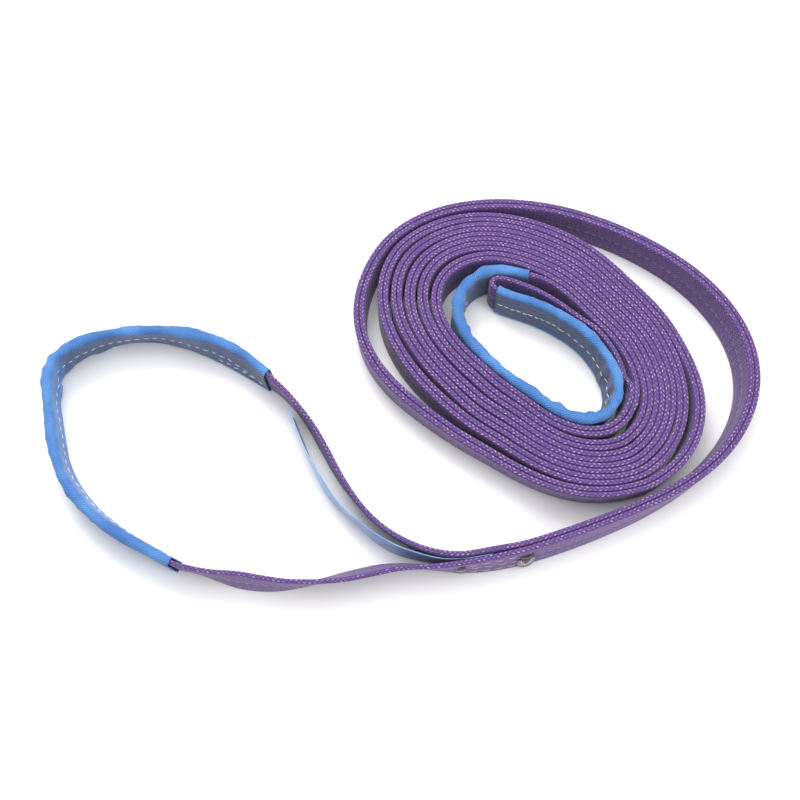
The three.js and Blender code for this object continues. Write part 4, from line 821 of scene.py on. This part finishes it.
def solid_torus(name, V, U, Vv):
    n, m = V.shape[:2]
    me = bpy.data.meshes.new(name)
    i, j = np.meshgrid(np.arange(n), np.arange(m), indexing="ij")
    i1, j1 = (i + 1) % n, (j + 1) % m
    Q = np.stack([i * m + j, i * m + j1, i1 * m + j1, i1 * m + j], -1).reshape(-1, 4)
    u = np.stack([U[i], U[i], U[i1], U[i1]], -1).reshape(-1, 4)
    v = np.stack([Vv[j], Vv[j + 1], Vv[j + 1], Vv[j]], -1).reshape(-1, 4)
    P = V.reshape(-1, 3)
    a, b, c, d = (P[Q[:, k]] for k in range(4))
    vol = np.einsum("ij,ij->i", a, np.cross(b, c)).sum() + np.einsum("ij,ij->i", a, np.cross(c, d)).sum()
    if vol < 0:
        Q, u, v = Q[:, ::-1], u[:, ::-1], v[:, ::-1]
    me.vertices.add(len(P))
    me.vertices.foreach_set("co", P.astype(np.float32).ravel())
    me.loops.add(Q.size)
    me.loops.foreach_set("vertex_index", Q.reshape(-1).astype(np.int32))
    me.polygons.add(len(Q))
    me.polygons.foreach_set("loop_start", (np.arange(len(Q)) * 4).astype(np.int32))
    me.polygons.foreach_set("loop_total", np.full(len(Q), 4, np.int32))
    me.update(calc_edges=True)
    me.polygons.foreach_set("use_smooth", np.ones(len(Q), bool))
    me.uv_layers.new(name="weave").data.foreach_set("uv", np.stack([u.reshape(-1), v.reshape(-1)], -1).astype(np.float32).ravel())
    me.validate()
    ob = bpy.data.objects.new(name, me)
    bpy.context.collection.objects.link(ob)
    return ob


H1 = SLEEVE_HALF
outer_sleeve, OL, OD = sleeve("outer_eye_sleeve_cloth", table, eA - 0.003, eB, 0.00365, 11, [
    (0.0817, -0.0300, 0.0070, 0.0100, 0.00160, 0.00),
    (0.1332, -0.0320, 0.0050, 0.0080, 0.00140, 0.00),
    (0.1622, -0.0280, 0.0050, 0.0120, 0.00240, 0.35),
    (0.1822, -0.0260, 0.0060, 0.0120, 0.00260, -0.20),
    (0.1652, 0.0020, 0.0032, 0.0140, -0.00070, 0.50),
    (0.1737, 0.0020, 0.0030, 0.0130, -0.00060, -0.40),
    (0.1694, 0.0030, 0.0045, 0.0140, 0.00090, 0.20),
    (0.1855, 0.0000, 0.0035, 0.0100, 0.00060, -0.30),
    (0.1734, -0.0180, 0.0026, 0.0090, -0.00180, 0.30),
    (0.0682, -0.0040, 0.0090, 0.0090, 0.00090, 0.20),
    (0.1219, -0.0030, 0.0070, 0.0080, -0.00060, 0.30),
    (0.1080, 0.0020, 0.0060, 0.0090, 0.00050, -0.30),
    (0.0935, -0.0200, 0.0120, 0.0120, -0.00050, 0.00),
    (0.2150, -0.0080, 0.0070, 0.0100, 0.00050, 0.40),
    (0.2454, -0.0060, 0.0080, 0.0100, 0.00060, -0.40),
    (0.2822, -0.0100, 0.0080, 0.0120, 0.00060, 0.40),
], node="outer_eye_sleeve")
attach(outer_sleeve, "outer_eye")
inner_sleeve, IL_, ID = sleeve("inner_eye_sleeve_cloth", INNER_EYE, A2 - 0.005, B2 + 0.005, 0.00355, 23, [
    (0.0675, -0.0060, 0.0045, 0.0100, 0.00150, 0.20),
    (0.0884, -0.0060, 0.0045, 0.0100, 0.00150, -0.20),
    (0.1046, -0.0060, 0.0040, 0.0090, 0.00070, 0.20),
    (0.1758, -0.0060, 0.0040, 0.0090, 0.00150, 0.20),
    (0.1989, -0.0070, 0.0040, 0.0100, 0.00170, -0.20),
    (0.2191, -0.0090, 0.0040, 0.0120, 0.00160, 0.30),
    (0.2270, -0.0160, 0.0030, 0.0100, -0.00180, 0.20),
    (0.2398, -0.0160, 0.0050, 0.0090, -0.00160, 0.30),
    (0.2322, -0.0140, 0.0035, 0.0090, 0.00120, -0.30),
    (0.1569, -0.0060, 0.0050, 0.0080, 0.00060, 0.30),
    (0.4609, -0.0100, 0.0050, 0.0100, 0.00070, -0.40),
], hug=True, node="inner_eye_sleeve", smooth=2.2)
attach(inner_sleeve, "coil")


# ---------------------------------------------------------------- threads
def tube_mesh(name, paths, radius, mats, mat_index=None, sides=8, flat=1.0, normals=None):
    """Closed tubes with round ends along short paths, all in one object."""
    V, F, UV, MI = [], [], [], []
    for pi, P in enumerate(paths):
        P = np.array(P, float)
        n = len(P)
        t = np.gradient(P, axis=0)
        t /= np.linalg.norm(t, axis=1)[:, None]
        up = np.array(normals[pi], float) if normals is not None else np.array([0, 0, 1.0])
        rad = np.full(n, radius if np.isscalar(radius) else radius[pi])
        taper = np.minimum(1, 0.45 + 0.55 * np.minimum(np.arange(n), np.arange(n)[::-1]) / max(1, min(3, (n - 1) / 2)))
        rad = rad * taper
        base = len(V)
        d = np.concatenate([[0], np.cumsum(np.linalg.norm(np.diff(P, axis=0), axis=1))])
        for i in range(n):
            a = up - t[i] * (up @ t[i])
            a /= np.linalg.norm(a) + 1e-12
            b = np.cross(t[i], a)
            for k in range(sides):
                q = 2 * math.pi * k / sides
                V.append(P[i] + rad[i] * (a * math.cos(q) * flat + b * math.sin(q)))
        V.append(P[0] - t[0] * rad[0] * 0.5)
        V.append(P[-1] + t[-1] * rad[-1] * 0.5)
        c0, c1 = base + n * sides, base + n * sides + 1
        for i in range(n - 1):
            for k in range(sides):
                k1 = (k + 1) % sides
                F.append((base + i * sides + k, base + i * sides + k1, base + (i + 1) * sides + k1, base + (i + 1) * sides + k))
                q0, q1 = k / sides * 0.003, (k + 1) / sides * 0.003
                UV += [(d[i], q0), (d[i], q1), (d[i + 1], q1), (d[i + 1], q0)]
                MI.append(0 if mat_index is None else mat_index[pi])
        for k in range(sides):
            k1 = (k + 1) % sides
            F.append((c0, base + k1, base + k))
            UV += [(0, 0), (0, 0.0004), (0, 0)]
            F.append((c1, base + (n - 1) * sides + k, base + (n - 1) * sides + k1))
            UV += [(d[-1], 0), (d[-1], 0), (d[-1], 0.0004)]
            MI += [0 if mat_index is None else mat_index[pi]] * 2
    me = bpy.data.meshes.new(name)
    me.from_pydata([tuple(v) for v in V], [], F)
    me.uv_layers.new(name="weave").data.foreach_set("uv", np.array(UV, np.float32).ravel())
    for mt in mats:
        me.materials.append(mt)
    me.polygons.foreach_set("material_index", np.array(MI, np.int32))
    me.polygons.foreach_set("use_smooth", np.ones(len(F), bool))
    me.update()
    import bmesh
    bm = bmesh.new()
    bm.from_mesh(me)
    bmesh.ops.recalc_face_normals(bm, faces=bm.faces)
    bm.to_mesh(me)
    bm.free()
    ob = bpy.data.objects.new(name, me)
    bpy.context.collection.objects.link(ob)
    return ob


def frame_at(line, u, a, b, high, thick, lift=0.0):
    """Point of a section at thickness a and height b, and the outward normal of its left face there."""
    P, t, n, l = line.at(np.array([u]))
    P, t, n, l = P[0], t[0], n[0], l[0]
    h = a * math.cos(l) + b * math.sin(l)
    z = high / 2 * math.cos(l) + thick / 2 * abs(math.sin(l)) + lift + b * math.cos(l) - a * math.sin(l)
    nrm = np.array([n[0] * math.cos(l), n[1] * math.cos(l), -math.sin(l)])
    return np.array([P[0] + n[0] * h, P[1] + n[1] * h, z]), nrm, np.array([t[0], t[1], 0])


def sleeve_surface(line, D, u, b):
    """How proud the sleeve's left face stands at height b."""
    s, w, d0, R, N = D
    i = int(np.clip(np.searchsorted(s, u - line.s[0]), 0, len(s) - 1))
    left = np.where((R[:, 0] > 0.0035) & (np.abs(R[:, 1]) < 0.0131))[0]
    left = left[np.argsort(R[left, 1])]
    return float(np.interp(b, R[left, 1], d0[i, left]))


def stitches(name, line, us, ab, high, thick, mat, length=0.0044, radius=0.00042, side=1.0, lift=0.0, surf=None, n=7, jitter=0.0, riding="outer_eye", nodes=()):
    paths, normals = [], []
    r = np.random.default_rng(int(abs(us[0]) * 1e5) % 1000 + 5)
    for u in us:
        P = []
        db = r.uniform(-jitter, jitter)
        for q in np.linspace(-0.5, 0.5, n):
            uu = u + q * length
            a, b = ab(uu)
            b = b + db + q * jitter
            ex = surf(uu, b) if surf else 0.0
            dip = 0.00050 * (abs(2 * q) ** 3)
            p, nrm, _ = frame_at(line, uu, side * (a + ex + radius * 0.55 - dip), b, high, thick, lift)
            P.append(p)
        paths.append(P)
        normals.append(nrm * side)
    ob = tube_mesh(name, paths, radius, [mat], normals=normals, flat=0.75)
    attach(ob, riding)
    if nodes:
        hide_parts(*nodes)
    return ob


seam_end = eA + 0.040


def outer_seam(u):
    # down the middle, and aslant to the corner at the sleeve's end
    f = smooth01((seam_end - u) / 0.040)
    return 0.00365, float(-0.0085 * f)


stitches("outer_sleeve_seam", OL, np.arange(eA + 0.004, eB - 0.004, 0.0066), outer_seam, 0.033, 0.0073, THREAD, surf=lambda u, b: sleeve_surface(OL, OD, u, b), jitter=0.0002, nodes=["outer_sleeve_seam_thread"])
stitches("outer_sleeve_second_row", OL, np.arange(eA + 0.0125, eA + 0.040, 0.0066), lambda u: (0.00365, -0.0088), 0.033, 0.0073, THREAD, surf=lambda u, b: sleeve_surface(OL, OD, u, b), jitter=0.0002, nodes=["outer_sleeve_end_thread"])
solid_to = B2 - 0.047
stitches("inner_sleeve_seam", IL_, np.concatenate([np.arange(A2 + 0.052, solid_to, 0.0066), np.arange(solid_to + 0.001, B2 + 0.002, 0.0047)]), lambda u: (0.00355, 0.0), 0.033, 0.0071, THREAD, surf=lambda u, b: sleeve_surface(IL_, ID, u, b), jitter=0.0002, riding="coil", nodes=["inner_sleeve_seam_thread"])

# ---------------------------------------------------------------- splice: rows, tacks
s_end = L1.s[-1]
run_len = arc(ro[:, :2])[-1]
hinge_s = s_end - run_len                     # where the outer layer's run meets the eye
W2 = PLY / 2
for nm, b0, shift in (("top", 0.0085, 0.0), ("middle", 0.0, 0.0022), ("bottom", -0.0085, 0.0008)):
    stitches("splice_row_" + nm, L1, np.arange(hinge_s - 0.0425 + shift, hinge_s - 0.0135, 0.0088), lambda u, b0=b0: (W2, b0), WEB, PLY, LILAC, length=0.0062, radius=0.00048, side=-1.0, jitter=0.0004, nodes=["splice_stitch_row_" + nm])
stitches("inner_splice_rows", inner_line, np.concatenate([np.arange(0.007, 0.042, 0.0070)]), lambda u: (W2, 0.0085), WEB, PLY, LILAC, length=0.0045, radius=0.00025, side=-1.0, riding="coil", nodes=["inner_splice_stitch_row_top"])
stitches("inner_splice_rows_low", inner_line, np.concatenate([np.arange(0.007, 0.042, 0.0070)]), lambda u: (W2, -0.0085), WEB, PLY, LILAC, length=0.0045, radius=0.00025, side=-1.0, riding="coil", nodes=["inner_splice_stitch_row_bottom"])

# bar tack at the run end: thick thread laid back and forth in nested arcs over the lower edge
paths, rads, mi, nrms = [], [], [], []
uc, r0 = hinge_s - 0.0062, np.random.default_rng(3)
for k in range(9):
    rr = 0.0016 + 0.00062 * k
    P = []
    for q in np.linspace(-0.15, 1.12, 15):
        a = math.pi * (1.0 + q)                     # lower half circle, left end to right end
        du, b = rr * math.cos(a) * 0.95, -0.0020 + rr * math.sin(a) * 1.75
        out = 0.0007 + 0.0011 * math.sin(math.pi * min(1, max(0, q))) * (1 - 0.5 * k / 9) + (0.0002 if k % 2 else 0)
        p, nrm, _ = frame_at(L1, uc - du, -(W2 + out), b, WEB, PLY, 0.0)
        P.append(p)
    paths.append(P)
    nrms.append(-nrm)
    rads.append(0.00046)
    mi.append((1, 0, 1, 0, 0, 1, 0, 1, 1)[k])
for k in range(6):                                  # dark core threads across the top
    P = []
    for q in np.linspace(-1, 1, 9):
        p, nrm, _ = frame_at(L1, uc + q * 0.0048 * (1 - 0.06 * k), -(W2 + 0.0007 + 0.0006 * (1 - q * q)), 0.0062 - 0.0019 * k + 0.0016 * q * q, WEB, PLY, 0.0)
        P.append(p)
    paths.append(P)
    nrms.append(-nrm)
    rads.append(0.00062)
    mi.append((2, 1, 2, 2, 1, 2)[k])
ob = tube_mesh("run_end_bar_tack", paths, rads, [LILAC, GREY, DARK], mat_index=mi, normals=nrms)
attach(ob, "outer_eye")
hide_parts("bar_tack_run_end")

paths, rads, mi, nrms = [], [], [], []
uc = hinge_s - 0.0492
for k in range(5):                                  # dark upright bar
    P = []
    for b in np.linspace(0.0085, -0.0130, 14):
        p, nrm, _ = frame_at(L1, uc + (k - 2) * 0.00075 + 0.0001 * math.sin(b * 2500 + k), -(W2 + 0.00060 + 0.00012 * math.cos(b * 6000)), b, WEB, PLY, 0.0)
        P.append(p)
    paths.append(P)
    nrms.append(-nrm)
    rads.append(0.00060)
    mi.append(1)
for b0 in (0.0006, -0.0072):                        # two pale stitches across it
    P = []
    for q in np.linspace(-1, 1, 9):
        p, nrm, _ = frame_at(L1, uc - 0.0012 + q * 0.0036, -(W2 + 0.00145 - 0.0006 * q * q), b0, WEB, PLY, 0.0)
        P.append(p)
    paths.append(P)
    nrms.append(-nrm)
    rads.append(0.00046)
    mi.append(0)
ob = tube_mesh("eye_end_bar_tack", paths, rads, [LILAC, DARK, GREY], mat_index=mi, normals=nrms)
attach(ob, "outer_eye")
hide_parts("bar_tack_eye_end")

# ---------------------------------------------------------------- label
LL = Line(LABEL, 0.0012, smooth=5.0)
lw, lt = 0.025, 0.0007
LS = []
for k in range(5):
    a = math.pi * k / 4
    LS.append((lt / 2 * math.cos(a), lw / 2 - lt / 2 + lt / 2 * math.sin(a)))
for k in range(1, 8):
    LS.append((-lt / 2, (lw / 2 - lt / 2) * (1 - k / 4)))
LS = LS[:-1]
for k in range(5):
    a = math.pi * k / 4
    LS.append((-lt / 2 * math.cos(a), -lw / 2 + lt / 2 - lt / 2 * math.sin(a)))
for k in range(1, 7):
    LS.append((lt / 2, -(lw / 2 - lt / 2) * (1 - k / 4) if k < 8 else 0))
LS = np.array(LS)
_ld = np.concatenate([[0.0], np.cumsum(np.hypot(*np.diff(np.vstack([LS, LS[:1]]), axis=0).T))])
LHALF = _ld[-1] / 2
LABEL_MAT = label_material("label_tape_material", (0.17, 0.30, 0.58), (0.30, 0.44, 0.68), (0.08, 0.16, 0.38), float(LL.s[-1]), LHALF)
SSl, BBl = np.meshgrid(LL.s, LS[:, 1], indexing="ij")
# a little cup across the tape and a slow wave along its edge, fading where it is held
free = smooth01((LL.s[-1] - 0.045 - LL.s) / 0.05)[:, None]
cup = free * (0.0007 * (BBl / 0.0125) ** 2 + 0.0005 * np.sin(2 * math.pi * SSl / 0.055 + 1.0) * (BBl / 0.0125))
ob = solid("label_tape", place(LL, LS[None, :, 0] + cup, np.repeat(LS[None, :, 1], len(LL.s), 0), lw, lt, 0.002 * smooth01((LL.s - 0.12) / 0.05)), LL.s, _ld - _ld[2], mats=[LABEL_MAT])
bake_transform(ob)
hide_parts("label_flap", "label_sewn_end")

# ---------------------------------------------------------------- floor, light
me = bpy.data.meshes.new("floor")
me.from_pydata([(-6, -6, 0), (6, -6, 0), (6, 6, 0), (-6, 6, 0)], [], [(0, 1, 2, 3)])
floor = bpy.data.objects.new("floor", me)
bpy.context.collection.objects.link(floor)
me.materials.append(floor_material((0.80, 0.80, 0.80)))

world = bpy.data.worlds.new("studio")
bpy.context.scene.world = world
world.use_nodes = True
world.node_tree.nodes["Background"].inputs[0].default_value = (1.0, 1.0, 1.0, 1)
world.node_tree.nodes["Background"].inputs[1].default_value = 0.85


def area(name, loc, target, size, power, color=(1, 1, 1)):
    L = bpy.data.lights.new(name, "AREA")
    L.shape, L.size, L.energy, L.color = "DISK", size, power, color
    o = bpy.data.objects.new(name, L)
    bpy.context.collection.objects.link(o)
    o.location = loc
    look_at(o, target)
    return o


area("key_behind", (-0.55, 1.15, 1.75), (0, 0, 0), 1.1, 30)
area("fill_right", (1.35, -0.75, 0.85), (0, 0, 0.01), 0.9, 11)
area("top", (0.0, 0.1, 2.2), (0, 0, 0), 1.6, 26)

sc = bpy.context.scene
sc.view_settings.view_transform = "Standard"
sc.view_settings.look = "None"
sc.view_settings.exposure = 0.0
sc.view_settings.gamma = 1.0

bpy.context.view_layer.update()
